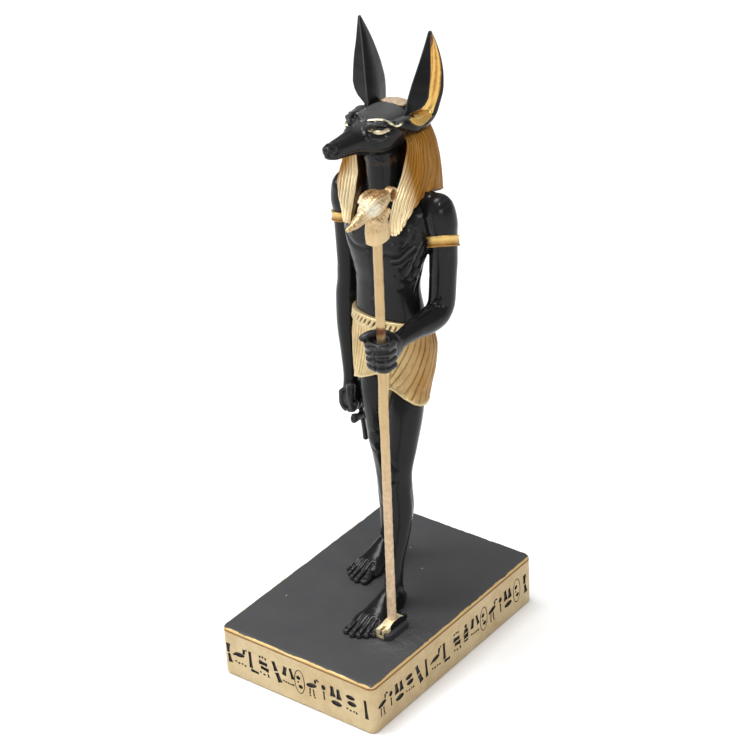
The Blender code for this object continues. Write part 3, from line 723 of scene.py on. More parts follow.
def gold_material(name, paint, grain=0.25, chalk=SAND, shine=0.3):
    """Worn gold paint with dark brown painted shade, matt pale patches (chalk) and black paint over it
    (black).
    """
    net = Net(name)
    colour, metal, rough, streak = gold_paint(net, *paint)
    dark = net.attr("dark")
    matt = net.attr("chalk")
    black = net.attr("black")
    patch = net.mix(net.ramp(streak, 0.35, 0.65), chalk, tuple(0.72 * c for c in chalk))
    colour = net.mix(matt, colour, patch)
    # painted shade: the shade mask turns the paint dark brown
    net.set("Base Color", net.mix(black, net.mix(dark, colour, SHADE_BROWN), BLACK))
    cover = net.calc("MAXIMUM", net.calc("MAXIMUM", dark, matt), black)
    net.set("Metallic", net.mul(net.sub(1.0, cover), metal))
    net.set("Roughness", net.blend(matt, rough, 0.58))
    net.set("Specular IOR Level", shine)
    net.set("Normal", net.bump(net.noise(1100.0, 4.0, 0.65), grain, 0.0003, net.bump(streak, 0.2, 0.0004)))
    return net.mat


# Body: torso, arms, fists, legs and feet

def rod_at(z):
    t = (z - ROD_FOOT_Z) / (ROD_HEAD_Z - ROD_FOOT_Z)
    return ROD_FOOT[0] + (ROD_HEAD[0] - ROD_FOOT[0]) * t, ROD_FOOT[1] + (ROD_HEAD[1] - ROD_FOOT[1]) * t


def torso():
    trunk = limb("trunk", [
        (0, 16.8, 120, 14.5, 8.5, 9.5, 2.2),
        (0, 16.8, 134, 16.0, 8.6, 10.5, 2.2),
        (0, 16.0, 146, 14.9, 7.7, 8.9, 2.2),
        (0, 15.5, 156, 14.0, 7.3, 8.0, 2.2),
        (0, 15.7, 164, 15.4, 8.5, 8.4, 2.2),
        (0, 16.2, 172, 17.6, 9.8, 9.2, 2.3),
        (0, 16.8, 180, 18.8, 10.4, 9.6, 2.3),
        (0, 17.8, 187, 19.2, 9.0, 9.2, 2.2),
        (0, 18.6, 192, 16.5, 7.2, 7.6, 2.1),
        (0, 18.8, 196, 11.0, 5.6, 6.4),
    ], sides=64)
    out = [trunk]
    for s in (-1, 1):
        out.append(blob("pectoral", (s * 8.6, 12.4, 179.6), (8.8, 5.4, 7.0), s * 0.25))
    return out


def neck():
    return limb("neck", [
        (0, 17.2, 186, 8.6, 8.0),
        (0, 16.2, 196, 6.8, 6.8, 7.5),
        (0, 15.6, 206, 6.4, 6.4, 7.5),
        (0, 15.0, 216, 6.6, 6.6, 8.0),
    ])


# Heel, ball and toe tips of each foot, by side
FEET = {
    1: ((11.6, -3.6), (12.0, -23.0),
        [(7.4, -33.0), (10.7, -33.6), (13.4, -32.6), (15.9, -31.0), (18.2, -29.0)]),
    -1: ((-12.2, 27.0), (-12.0, 8.2),
         [(-7.4, -1.8), (-10.7, -2.4), (-13.4, -1.4), (-15.9, 0.4), (-18.2, 2.6)]),
}


def foot(heel, ball, toes, toe_r=1.32):
    hx, hy = heel
    bx, by = ball
    low = 21.3
    rows = [
        (hx, hy + 3.6, low + 3.4, 2.4, 3.4, 1.6, 2.3),
        (hx, hy + 1.0, low + 4.2, 3.8, 4.2, 3.4, 2.3),
        (hx, hy - 4.0, low + 5.2, 4.1, 5.2, 6.4, 2.2),
        (hx + (bx - hx) * 0.45, hy + (by - hy) * 0.45, low + 4.4, 4.6, 4.4, 5.8, 2.2),
        (hx + (bx - hx) * 0.75, hy + (by - hy) * 0.75, low + 3.4, 5.8, 3.4, 3.8, 2.3),
        (bx, by, low + 2.8, 6.9, 2.8, 2.6, 2.5),
        (bx, by - 2.5, low + 2.4, 6.6, 2.4, 2.0, 2.5),
    ]
    out = [limb("foot", rows)]
    for k, (tx, ty) in enumerate(toes):
        r = toe_r * (1.25 if k == 0 else 1.0 - 0.05 * k)
        x0 = bx + (tx - bx) * 0.86
        out.append(limb("toe", [
            (x0, by + 1.0, low + 2.6, r, 2.6, 1.7, 2.2),
            (tx * 0.5 + x0 * 0.5, (ty + by) / 2, low + 2.5, r, 2.5, 1.6, 2.2),
            (tx, ty + r * 1.6, low + 2.4, r, 2.4, 1.3, 2.2),
            (tx, ty + r, low + 2.3, r * 0.96, 2.3, 1.3, 2.2),
        ], step=0.6, sides=24))
    return out


def arms():
    left = [
        (22.1, -12.0, 146.8, 3.2, 4.4),
        (22.0, -6.0, 147.2, 3.1, 3.5),
        (21.9, 2.0, 147.4, 3.9, 4.3, 4.1),
        (21.8, 10.0, 146.8, 4.8, 5.0),
        (21.9, 15.8, 147.4, 5.1, 5.2, 5.5),
        (22.0, 19.6, 151.2, 5.2, 5.1, 5.5),
        (22.3, 20.5, 160.0, 5.3),
        (22.7, 20.9, 170.0, 5.4, 5.6),
        (22.8, 20.9, 178.0, 5.4, 5.7),
        (22.4, 20.6, 184.0, 6.2, 6.6, 6.4),
        (21.2, 20.2, 189.5, 6.4, 6.4, 6.2),
        (17.6, 19.6, 192.2, 4.2),
    ]
    right = [
        (-22.8, 18.4, 100.0, 3.4, 4.6),
        (-22.9, 18.5, 107.0, 3.1, 3.4),
        (-23.1, 19.0, 117.0, 3.8, 4.0),
        (-23.5, 19.5, 131.0, 4.7, 4.9),
        (-23.4, 20.1, 142.0, 4.9, 5.1),
        (-22.8, 20.6, 150.0, 4.6, 5.0),
        (-22.4, 20.8, 162.0, 5.0, 5.2),
        (-22.2, 20.9, 170.0, 5.3, 5.5),
        (-22.2, 20.9, 178.0, 5.4, 5.7),
        (-21.8, 20.6, 184.0, 6.1, 6.6, 6.4),
        (-20.6, 20.2, 189.5, 6.3, 6.4, 6.2),
        (-17.6, 19.6, 192.2, 4.2),
    ]
    return [limb("left_arm", left), limb("right_arm", right)]


def left_fist():
    cx, cy = rod_at(146.5)
    out = [limb("palm", [
        (cx + 0.6, cy + 7.0, 146.8, 3.3, 5.0, 4.6, 2.3),
        (cx + 0.2, cy + 3.0, 146.4, 4.2, 5.6, 5.6, 2.4),
        (cx - 0.2, cy - 0.8, 146.0, 4.2, 5.4, 5.6, 2.6),
        (cx - 0.4, cy - 2.4, 146.0, 3.6, 5.0, 5.2, 2.6),
    ])]
    for k in range(4):
        z = 150.4 - 2.95 * k
        r = 1.6 - 0.05 * k
        out.append(limb("finger", [
            (cx + 3.9, cy + 2.0, z, 0.9 * r, r, r, 2.2),
            (cx + 3.8, cy - 2.6, z, r, r, r, 2.2),
            (cx + 1.0, cy - 4.9 + 0.3 * k, z, r, r, r, 2.2),
            (cx - 2.7, cy - 4.4 + 0.3 * k, z, r, r, r, 2.2),
            (cx - 4.5, cy - 1.8, z - 0.2, r, r, r, 2.2),
            (cx - 4.3, cy + 0.6, z - 0.4, 0.9 * r, r, r, 2.2),
        ], step=0.7, sides=22))
    out.append(limb("thumb", [
        (cx + 1.5, cy + 6.0, 149.8, 2.0),
        (cx - 2.4, cy + 2.8, 152.2, 1.9),
        (cx - 5.0, cy - 1.4, 152.8, 1.7),
        (cx - 6.2, cy - 4.2, 152.4, 1.3),
    ], step=0.8, sides=24))
    return out


def right_fist():
    cx, cy, cz = -21.9, 18.6, 98.4
    out = [limb("palm", placed([
        (0, 0, -4.2, 3.2, 4.6, 4.6, 2.3),
        (-0.2, 0, 0, 3.8, 5.4, 5.4, 2.4),
        (-0.4, 0, 4.5, 3.3, 4.4, 4.4, 2.2),
    ], cx, cy, cz))]
    for k in range(4):
        y = cy - 4.0 + 2.65 * k
        r = 1.5
        out.append(limb("finger", [
            (cx - 3.0, y, cz + 2.0, r, r, r, 2.2),
            (cx - 3.1, y, cz - 2.6, r, r, r, 2.2),
            (cx - 1.0, y, cz - 5.2, r, r, r, 2.2),
            (cx + 2.0, y, cz - 4.4, r, r, r, 2.2),
            (cx + 3.2, y, cz - 1.4, r, r, r, 2.2),
        ], step=0.7, sides=22))
    out.append(limb("thumb", placed([
        (1.2, -3.6, 5.5, 1.8),
        (1.8, -5.0, 1.0, 1.7),
        (2.2, -4.4, -3.2, 1.4),
    ], cx, cy, cz), step=0.8, sides=24))
    return out


def ankh():
    lean = 0.22
    ax, ay, az = -20.8, 20.6, 92.0
    stem = limb("ankh_stem", [
        (ax, ay + lean * (az - 76.0), 75.8, 1.15, 2.3, 2.3, 3.2),
        (ax, ay + lean * (az - 84.0), 84.0, 1.15, 1.3, 1.3, 3.2),
        (ax, ay, az + 3.0, 1.15, 1.3, 1.3, 3.2),
    ], round_ends=False)
    bar_z = 87.4
    by = ay + lean * (az - bar_z)
    bar = limb("ankh_bar", [
        (ax, by - 6.4, bar_z + 1.2, 1.3, 2.1, 2.1, 3.2),
        (ax, by, bar_z, 1.3, 1.2, 1.2, 3.2),
        (ax, by + 6.4, bar_z - 1.2, 1.3, 2.1, 2.1, 3.2),
    ], round_ends=False)
    return [stem, bar]


def rod_tube(name, diameter, z0, z1, sides=32):
    rings = []
    for z in (z0, z1):
        x, y = rod_at(z)
        rings.append([(x + diameter / 2 * math.cos(TAU * i / sides),
                       y + diameter / 2 * math.sin(TAU * i / sides), z) for i in range(sides)])
    return skin(rings, name)


def make_upper(mat):
    shells = torso() + arms() + left_fist() + right_fist() + ankh() + [neck()]
    obj = merged("torso_arms", shells, 0.45, 2)
    boolean(obj, rod_tube("bore", 4.5, 120.0, 176.0))
    s = Sculpt(obj)
    # breastbone, belly and spine
    for line, width, height in (
            ([(0, 6, 186), (0, 7, 178), (0, 8, 172)], 1.6, -0.7),
            ([(0, 7.5, 170), (0, 8, 160), (0, 8.5, 150), (0, 8.5, 146)], 1.4, -0.35),
            ([(0, 26.5, 188), (0, 26, 175), (0, 24.5, 160), (0, 25, 146)], 2.0, -0.8)):
        s.snap(line, width, height)
    s.bump((0, 8.4, 149.5), (1.5, 3.0, 1.7), -0.9)
    s.bump((0, 8.4, 151.5), (2.6, 3.0, 0.9), 0.25)
    # edge of the chest, armpits, ribs, shoulder blades and outer arms
    for side in (-1, 1):
        for line, width, height in (
                ([(1.2, 7, 173.8), (6, 6, 172.4), (11, 6.4, 173), (15.5, 9, 176.5)], 1.1, -0.45),
                ([(16.8, 13, 178), (15.6, 10.5, 184)], 1.2, -0.4),
                ([(16.8, 18, 172), (15.6, 12.5, 169.5), (12, 9, 166)], 1.0, -0.30),
                ([(16.8, 18, 167.4), (15.6, 12.5, 164.9), (12, 9, 161.4)], 1.0, -0.24),
                ([(16.8, 18, 163), (15.6, 12.5, 160.5), (12, 9, 157)], 1.0, -0.2),
                ([(4.5, 26, 186), (8.5, 26, 178), (13, 24, 172)], 1.8, -0.35),
                ([(28, 18.0, 172), (27.6, 17.2, 164), (27.0, 16.4, 156)], 1.3, -0.22)):
            s.snap([(side * x, y, z) for x, y, z in line], width, height)
        s.bump((side * 9.5, 6.6, 177.5), (0.8, 3.0, 0.8), 0.35)
        s.bump((side * 9.0, 26.0, 182.0), (4.5, 4.0, 5.0), 0.5)
    # folds of the left flank and forearm, then the finger grooves of the left fist
    for line, width, height in (
            ([(393.5, 264.2), (398, 263.6), (403, 261.6), (409, 255.6), (416, 250)], 0.6, -0.7),
            ([(393, 261.0), (398, 260.2), (402.6, 258.2), (408, 252.4), (414, 247)], 0.7, 0.55),
            ([(425, 243), (419.5, 255), (415, 266), (411, 278)], 0.8, -0.6),
            ([(421.6, 243), (416, 255), (411, 266), (407.6, 275)], 0.8, 0.45),
            ([(415, 232), (410, 243), (404, 252)], 0.8, -0.45),
            ([(431, 250), (425, 262), (421, 274), (417, 286), (415, 296)], 0.9, -0.5),
            ([(428, 252), (422, 263), (417.5, 276)], 0.7, 0.4),
            ([(396, 276), (402, 272), (408, 264)], 0.8, -0.3),
            ([(400, 290), (406, 284), (411, 275)], 0.8, -0.3),
            ([(440, 298), (433, 303.5), (428, 309)], 0.7, -0.35),
            ([(362.5, 346.8), (370, 346.3), (377, 346.0), (384, 345.6), (388.5, 344.8)], 0.5, -0.65),
            ([(362.5, 353.4), (370, 352.9), (377, 352.6), (384, 352.2), (388.5, 351.4)], 0.5, -0.65),
            ([(362.5, 359.8), (370, 359.3), (377, 359.0), (384, 358.6), (388.5, 357.8)], 0.5, -0.65),
            ([(361, 340.5), (366, 341.2), (372, 341), (376, 340)], 0.45, -0.5)):
        s.trace(line, width, height)
    # finger grooves of the right fist
    for y in (15.925, 18.575, 21.225):
        s.snap([(-26, y, 101), (-26.6, y, 97), (-25, y, 94), (-22, y, 92.5)], 0.42, -0.5)
    s.done()
    # the belly ends inside the kilt
    pts = coords(obj)
    belly = (pts[:, 2] < 124) & (np.abs(pts[:, 0]) < 17)
    pts[:, 2] = np.where(belly, np.maximum(pts[:, 2], 116.0), pts[:, 2])
    put_coords(obj, pts)
    return finished(obj, [mat], edge=cavity(obj, 10, 0.55))


def make_lower(mat):
    legs = [limb("left_leg", LEFT_LEG), limb("right_leg", RIGHT_LEG)]
    obj = merged("legs", legs + foot(*FEET[1]) + foot(*FEET[-1]), 0.42, 2)
    boolean(obj, block("ground", (-60, 60), (-60, 60), (-20, SOLE_Z)))
    s = Sculpt(obj)
    for side in (1, -1):
        (hx, hy), ball, toes = FEET[side]
        # grooves between the toes, nails and knuckles, drawn on from above
        for (ax, ay), (bx, by) in zip(toes, toes[1:]):
            mx = (ax + bx) / 2
            my = max(ay, by)
            x0 = ball[0] + (mx - ball[0]) * 0.86
            line = [(mx, my + 0.2, 40), (mx * 0.6 + x0 * 0.4, my + 4.0, 40), (x0, ball[1] + 0.5, 40)]
            s.stroke([dropped(s.tree, line)], 0.48, -0.75)
        for tx, ty in toes:
            s.stroke([dropped(s.tree, [(tx, ty + 1.2, 40), (tx, ty + 2.2, 40)])], 0.6, -0.18)
            s.stroke([dropped(s.tree, [(tx, ty + 3.2, 40), (tx, ty + 3.6, 40)])], 0.7, 0.16)
        # ankle bones and heel tendon
        s.bump((hx - 3.9 * side, hy - 2.0, 31.5), (1.6, 1.8, 1.8), 0.7)
        s.bump((hx + 3.9 * side, hy - 1.6, 30.5), (1.6, 1.8, 1.8), 0.6)
        for x in (hx - 1.8, hx + 1.8):
            s.snap([(x, hy + 3.6, 30), (x, hy + 4.2, 38), (x, hy + 5, 45)], 0.9, -0.2)
    # knees, shins and calves
    for kx, ky, kz in ((9.5, -1.6, 80.0), (-9.8, 14.4, 81.0)):
        s.bump((kx, ky, kz + 1.0), (3.0, 3.0, 3.0), 0.55)
        for line, width, height in (
                ([(-3.4, 0.6, -1.5), (0, 0, -4.0), (3.4, 0.6, -1.5)], 0.9, -0.32),
                ([(-3.2, 0.5, 4.0), (0, 0, 6.0), (3.2, 0.5, 4.0)], 1.1, -0.25),
                ([(0, 0, -8), (0.6, 0, -22), (1.0, 0, -36)], 0.9, 0.22),
                ([(-5.5, 6.5, -8), (-5.2, 6, -20), (-3.4, 5, -32)], 1.2, -0.25),
                ([(5.5, 6.5, -8), (5.2, 6, -20), (3.4, 5, -32)], 1.2, -0.25)):
            s.snap([(kx + x, ky + y, kz + z) for x, y, z in line], width, height)
    s.done()
    pts = coords(obj)
    pts[:, 2] = np.maximum(pts[:, 2], SOLE_Z)
    put_coords(obj, pts)
    return finished(obj, [mat], edge=cavity(obj, 10, 0.55))


# Head and ears

def make_head(mat, ear_mat):
    skull = limb("skull", [
        (0, 30.0, 218.4, 5.6, 5.0, 3.8),
        (0, 26.0, 219.4, 8.6, 7.6, 5.9),
        (0, 19.5, 219.8, 10.2, 9.6, 7.7, 2.1),
        (0, 12.0, 219.6, 9.6, 9.0, 7.8, 2.2),
        (0, 6.5, 219.7, 7.8, 8.0, 6.3, 2.3),
        (0, 2.0, 220.2, 5.8, 6.6, 4.6, 2.3),
        (0, -3.0, 220.6, 4.6, 5.0, 3.5, 2.3),
        (0, -8.0, 220.8, 3.8, 4.5, 3.1, 2.3),
        (0, -12.5, 221.0, 3.1, 3.9, 3.0, 2.3),
        (0, -15.6, 221.4, 2.5, 3.1, 2.6, 2.2),
    ], sides=64)
    shells = [skull, neck()]
    shells.append(limb("nose", [
        (0, -14.8, 222.6, 2.1, 1.8, 1.7, 2.2),
        (0, -16.7, 222.2, 1.9, 1.8, 1.6, 2.2),
    ], step=0.6, sides=28))
    for s in (-1, 1):
        shells.append(limb("brow", [
            (s * 3.8, 1.8, 225.0, 0.8),
            (s * 6.4, 5.0, 225.7, 1.0),
            (s * 8.2, 9.5, 225.2, 0.9),
            (s * 9.4, 14.0, 224.0, 0.8),
        ], step=0.6, sides=20))
        shells.append(limb("eye", [
            (s * 5.7, 3.0, 222.4, 0.8),
            (s * 7.0, 5.6, 222.9, 1.4),
            (s * 8.5, 8.8, 222.6, 0.8),
        ], step=0.6, sides=20))
        shells.append(limb("ear_root", [
            (s * 9.4, 12.6, 224.0, 1.2, 1.4),
            (s * 10.2, 16.4, 222.8, 2.4, 2.8, 2.6),
            (s * 10.9, 21.0, 220.9, 3.1, 3.7, 3.2),
            (s * 11.2, 26.0, 220.6, 3.0, 3.6, 3.0),
            (s * 10.9, 30.6, 221.2, 2.0, 2.4, 2.2),
        ], step=0.8, sides=32))
    obj = merged("head", shells, 0.32, 2)
    s = Sculpt(obj)

    def face_line(line, width=0.0, height=0.0):
        """Line in the frame and its mirror image on the other cheek, raised or sunk when a width is given."""
        found = traced(s.tree, line, True)
        if width:
            s.stroke(found, width, height)
        return found

    brow = face_line([(368.3, 120.8), (373, 120.2), (378, 120.0), (383, 120.4), (387, 121.7), (391, 123.6),
                      (394.6, 125.2), (397.6, 125.6), (400.4, 124.2)], 0.85, 0.50)
    tail = face_line([(400.4, 124.2), (403, 122.6)], 0.5, 0.25)
    # the far brow is painted over its rear part only
    brow = [brow[0], brow[1][len(brow[1]) * 2 // 5:]]
    s.paint("gold", [brow[0][:len(brow[0]) // 2]], 0.52, 0.26, 0.8)
    s.paint("gold", brow, 0.44, 0.26, 0.75)
    s.paint("gold", tail, 0.25, 0.25, 0.6)
    # upper lid, white, corner and pupil of the eye, and the lower lid
    face_line([(367.4, 125.6), (371, 124.8), (376, 124.4), (381, 124.6), (385.5, 126.0), (389.5, 128.2)],
              0.6, 0.55)
    white = face_line([(368.6, 130.0), (372, 130.7), (376, 132.0), (380, 132.8), (383.6, 132.2),
                       (386, 130.8)], 0.8, 0.30)
    s.paint("gold", white, 0.74, 0.2)
    corner = face_line([(387.8, 129.4), (388.6, 130.4)], 0.55, 0.35)
    s.paint("gold", corner, 0.52, 0.2)
    pupil = face_line([(378.4, 128.4), (380.4, 128.8)], 0.8, 0.22)
    s.erase("gold", pupil, 0.66, 0.16)
    for line, width, height in (
            ([(370, 136.4), (374, 138.2), (379, 139.6), (384, 139.2), (388.4, 136.6)], 0.65, 0.75),
            ([(372, 134.9), (376.5, 136.6), (381, 136.9), (385, 135.6)], 0.4, -0.35),
            ([(364.2, 125.0), (362.6, 128.2)], 0.55, 0.5),
            ([(364.8, 131.2), (365.2, 135.2)], 0.55, 0.5),
            ([(366.2, 138.0), (367.4, 140.6)], 0.55, 0.5),
            # mouth, lip, nostril and the side of the nose
            ([(329.5, 157.5), (333, 158.8), (338, 159.2), (346, 158.6), (354, 157.6), (362, 156.8),
              (368.5, 155.6), (373, 153.6)], 0.42, -0.55),
            ([(338, 161), (346, 160.6), (354, 159.8), (362, 159), (368, 158)], 0.5, 0.25),
            ([(333.6, 148.6), (335.2, 149.8)], 0.6, -0.9),
            ([(337.5, 144.5), (338.8, 148), (338, 152), (335, 155)], 0.5, -0.4)):
        face_line(line, width, height)
    s.trace([(329, 152.8), (328.4, 157)], 0.4, -0.45)
    s.snap([(0, -12, 224.4), (0, -6, 224.6), (0, 0, 225.4), (0, 6, 227)], 1.0, -0.18)
    for x in (7.2, -7.2):
        s.bump((x, 10.0, 213.0), (3.6, 5.0, 3.4), 0.3)
    jaw = face_line([(403, 130), (405.5, 138), (405.5, 146), (403, 153), (397, 158.5), (389, 162)])
    s.paint("brown", jaw, 0.5, 1.6, 0.8)
    s.paint("brown", face_line([(385, 163.5), (378, 164.5), (371, 164)]), 0.2, 1.0, 0.6)
    # gold scoop at the root of the ear, with its rim
    scoop = []
    for line in ([(412.2, 120.2), (415, 121.8), (419, 122.8), (423, 121.8), (427, 118.6), (430.5, 114.5)],
                 [(413.5, 118), (418, 119), (424, 117.5), (428, 113.5)],
                 [(416.5, 115.2), (421, 114.6), (427, 111.6)],
                 [(420, 112.2), (425, 109.8), (431, 108.2)]):
        scoop += face_line(line)
    s.stroke(scoop[2:4], 1.5, -1.0)
    face_line([(410.4, 121), (414.5, 124.6), (420, 126.2), (426, 124.4), (430.5, 120), (433.5, 115)],
              0.6, 0.45)
    s.paint("gold", scoop, 1.05, 0.2)
    near = np.min([reach(s.pts, line, 2.3) for line in scoop if len(line)], axis=0) < 2.0
    # bare resin ends where the wig's cap begins
    front = CAP_FRONT + CAP_SLANT * np.abs(s.pts[:, 0])
    crown = np.clip((s.pts[:, 1] - front - 0.25 * smooth_noise(s.pts, 3.0, 41)) / 0.6, 0, 1)
    s.masks["sand"] = crown * (s.pts[:, 2] > CAP_Z)
    s.done()
    pts = coords(obj)
    facing = normals(obj)[:, 2]
    # dust and painted sheen: surfaces facing up on the head behind the muzzle are paler
    dust = np.clip((facing - 0.55) / 0.4, 0, 1) * np.clip((pts[:, 1] + 2) / 8, 0, 1) * 0.75
    finished(obj, [mat, ear_mat], edge=cavity(obj, 8, 0.5), cav=np.where(near, 0.40, 0.30), dust=dust)
    for poly in obj.data.polygons:
        poly.material_index = 1 if near[poly.vertices[0]] else 0
    return obj


# Centre x and y, height and scale of the ear's outline
EAR_ROWS = [
    (11.0, 22.0, 217.6, 0.70),
    (11.5, 22.8, 220.4, 1.02),
    (11.9, 23.6, 223.5, 1.13),
    (12.9, 24.8, 229.0, 1.15),
    (13.9, 25.6, 235.5, 1.03),
    (14.8, 26.2, 242.0, 0.80),
    (15.4, 26.5, 248.0, 0.53),
    (15.8, 26.4, 253.0, 0.28),
    (16.0, 26.2, 256.4, 0.10),
]


# Points of one level of the ear: its back, and each of its two lips
EAR_BACK = 64
EAR_LIP = 6


def rounded(corners, radii, pieces=5):
    """Open outline through the corners, each eased over its own reach."""
    out = [np.array(corners[0], dtype=float)]
    for k in range(1, len(corners) - 1):
        c = np.array(corners[k], dtype=float)
        before = np.array(corners[k - 1]) - c
        after = np.array(corners[k + 1]) - c
        r = radii[k]
        a = c + before / np.linalg.norm(before) * min(r, np.linalg.norm(before) * 0.45)
        b = c + after / np.linalg.norm(after) * min(r, np.linalg.norm(after) * 0.45)
        for j in range(pieces + 1):
            t = j / pieces
            out.append(a * (1 - t) ** 2 + c * 2 * t * (1 - t) + b * t * t)
    out.append(np.array(corners[-1], dtype=float))
    return np.array(out)


def spaced(line, count):
    seg = np.linalg.norm(np.diff(line, axis=0), axis=1)
    at = np.concatenate([[0.0], np.cumsum(seg)])
    want = np.linspace(0, at[-1], count)
    return np.column_stack([np.interp(want, at, line[:, c]) for c in range(2)])


def make_ear(s, mat):
    """Ear with a keel in front, a flat front face, and a deep cup, open to the side, that ends in a scoop."""
    keel = np.array((-3.4, -4.6))
    full = np.array((3.3, -3.0))
    rear = (0.9, 9.3)
    count = 46
    share = np.linspace(0, 1, count)
    rows = smooth_rows([(*q, 0.0) for q in EAR_ROWS], 0.42)
    rings = []
    gold = []
    tone = []
    warm = []
    wear_and_sheen = []
    for x, y, z, g, _ in rows:
        width = np.interp(z, [218, 223, 225.4, 226.4, 227.6, 229.4, 232, 242, 248, 256],
                          [0.55, 0.34, 0.20, 0.42, 0.70, 0.88, 1.0, 0.97, 0.90, 0.86])
        front = keel + (full - keel) * width
        outer = rounded([front, keel, (-4.0, 0.4), (-1.6, 8.6), rear], [0, 0.4, 2.6, 1.6, 0])
        outer = spaced(outer, EAR_BACK)
        rim = np.interp(z, [219, 224, 231, 238, 246, 256], [2.6, 2.3, 1.5, 0.9, 0.6, 0.5])
        inset = np.array((1.1 - 0.12 * rim, 9.0 - rim))
        lip_rear = spaced(rounded([rear, (1.5, 9.1), inset], [0, 0.4, 0], 6), EAR_LIP + 2)[1:-1]
        cup = rounded([inset, (-1.7, 5.0), (-2.6, 0.6), (-2.4, -2.2), front + (-1.0 * width, 1.2),
                       front + (-0.1, 0.9)], [0, 2.5, 2.5, 1.2, 0.6, 0])
        cup = spaced(cup, count)
        flat = np.column_stack([np.linspace(inset[0], front[0] - 0.1, count),
                                np.linspace(inset[1], front[1] + 0.9, count)])
        flat[:, 0] += 0.9 * np.sin(math.pi * share)
        world_y = y + g * cup[:, 1]
        low = 220.4 + 6.0 * ((world_y - 25.4) / 8.2) ** 2
        opened = np.clip((z - low + 0.2) / 2.2, 0, 1) * min(1.0, max(0.0, (254.0 - z) / 6.0))
        opened = eased(opened)
        ripple = 0.13 * np.sin(share * 30.0 + 0.5 * math.sin(z * 0.2)) * opened * np.sin(math.pi * share)
        inner = flat * (1 - opened)[:, None] + cup * opened[:, None]
        inner[:, 0] += ripple
        lip_front = rounded([inner[-1], (inner[-1] + front) / 2 + (0.35, 0.0), front], [0, 0.3, 0], 6)
        lip_front = spaced(lip_front, EAR_LIP + 2)[1:-1]
        plan = np.vstack([outer, lip_rear, inner, lip_front])
        # painted highlight: a pale line along the keel
        from_keel = np.linalg.norm(plan - keel, axis=1) * g
        wear_and_sheen.append(np.exp(-(from_keel / 0.32) ** 2) * np.clip((z - 219) / 4, 0, 1))
        rings.append([(s * (x + g * px), y + g * py, z) for px, py in plan])
        painted = np.clip((z - low + 3.2) / 0.5 + 0.5, 0, 1) * np.clip((255.6 - z) / 1.2, 0, 1)
        painted[-3:] = 0.0
        gold.append(np.concatenate([np.zeros(EAR_BACK + EAR_LIP), painted, np.zeros(EAR_LIP)]))
        # painted shade and light across the cup: darker streaks inside the rim and higher up, lighter low
        # down where the scoop faces up
        streak = np.interp(share, [0, 0.04, 0.07, 0.12, 0.16, 0.20, 0.235, 0.27, 0.31, 0.36, 1],
                           [0.90, 0.42, 0.50, 0.80, 0.56, 0.38, 0.82, 0.52, 0.72, 1.0, 1.0])
        rim_tone = np.interp(z, [223, 231], [0.40, 1.0])
        streak = np.where(share > 0.26, np.minimum(streak, rim_tone), streak)
        painted_light = 0.30 * math.exp(-((z - 223.0) / 6.0) ** 2)
        streak = np.where(share < 0.44, streak - painted_light, streak)
        tone.append(np.concatenate([np.full(EAR_BACK + EAR_LIP, 0.5), streak, np.full(EAR_LIP, 0.5)]))
        warm.append(np.full(len(plan), 0.10 + 0.22 * np.interp(z, [222, 232, 250], [0.2, 1.0, 0.6])))
    if s < 0:
        rings, gold, tone, wear_and_sheen = [[row[::-1] for row in rows] for rows in (rings, gold, tone, wear_and_sheen)]
    obj = skin(rings, "ear_left" if s > 0 else "ear_right")
    masks = {}
    for name, values, end in (
            ("gold", gold, 0.0), ("cav", tone, 0.5), ("deep", warm, 0.5), ("dust", wear_and_sheen, 0.0)):
        masks[name] = np.append(np.concatenate(values), [end, end])
    return finished(obj, [mat], 50, **masks, edge=cavity(obj, 6, 0.5))


# Wig

# Centre y, height, half width, front depth and back depth of the cap and the sides
WIG_ROWS = [
    (22.2, 182.0, 18.6, 9.4, 15.4),
    (22.2, 186.0, 18.8, 9.6, 15.6),
    (22.2, 194.0, 19.2, 10.0, 16.2),
    (22.2, 200.0, 18.8, 10.2, 16.4),
    (22.2, 206.0, 18.0, 10.4, 16.2),
    (22.4, 212.0, 16.6, 10.0, 15.4),
    (22.6, 217.0, 14.4, 8.4, 14.0),
    (22.8, 221.5, 11.8, 6.0, 11.8),
    (23.2, 224.8, 8.8, 3.6, 8.6),
    (23.4, 226.6, 5.6, 2.2, 5.2),
    (23.6, 227.5, 2.0, 1.0, 2.0),
]
# Centre x and y, height, half width, front depth and back depth of one front flap
LAPPET_ROWS = [
    (10.7, 7.6, 182.0, 2.2, 2.0, 3.0),
    (11.3, 8.2, 186.0, 3.0, 2.1, 3.4),
    (12.1, 9.6, 189.7, 4.0, 2.4, 4.0),
    (13.3, 12.2, 195.0, 5.3, 2.8, 5.0),
    (13.8, 15.0, 200.0, 5.0, 3.0, 6.0),
    (13.4, 17.0, 206.0, 4.4, 3.0, 6.0),
    (12.7, 18.4, 212.0, 3.4, 3.0, 6.0),
    (11.4, 19.2, 217.0, 1.6, 2.0, 4.0),
]
WIG_LOW = 182.0
LAPPET_TOP = 216.4
# Height of the lower edge by angle from the front
LOWER_EDGE = [(0, WIG_LOW), (36, WIG_LOW), (42.4, 183.5), (47.7, 186.2), (52.6, 189.8), (57.3, 192.7),
              (61.2, 194.5), (68.4, 195.5), (78.5, 196.3), (86, 196.9), (93, 196.4), (111, 194.0),
              (150, 187.0), (180, 185.0)]


def farthest(covered, rays, lo, hi, step=0.25):
    """Largest distance along each ray that is still covered, refined by halving."""
    t = np.arange(lo, hi, step)
    r = (t[None] * covered(np.repeat(t[None], rays, axis=0))).max(1)
    size = step / 2
    while size > 0.001:
        r = np.where(covered((r + size)[:, None])[:, 0], r + size, r)
        size /= 2
    return r


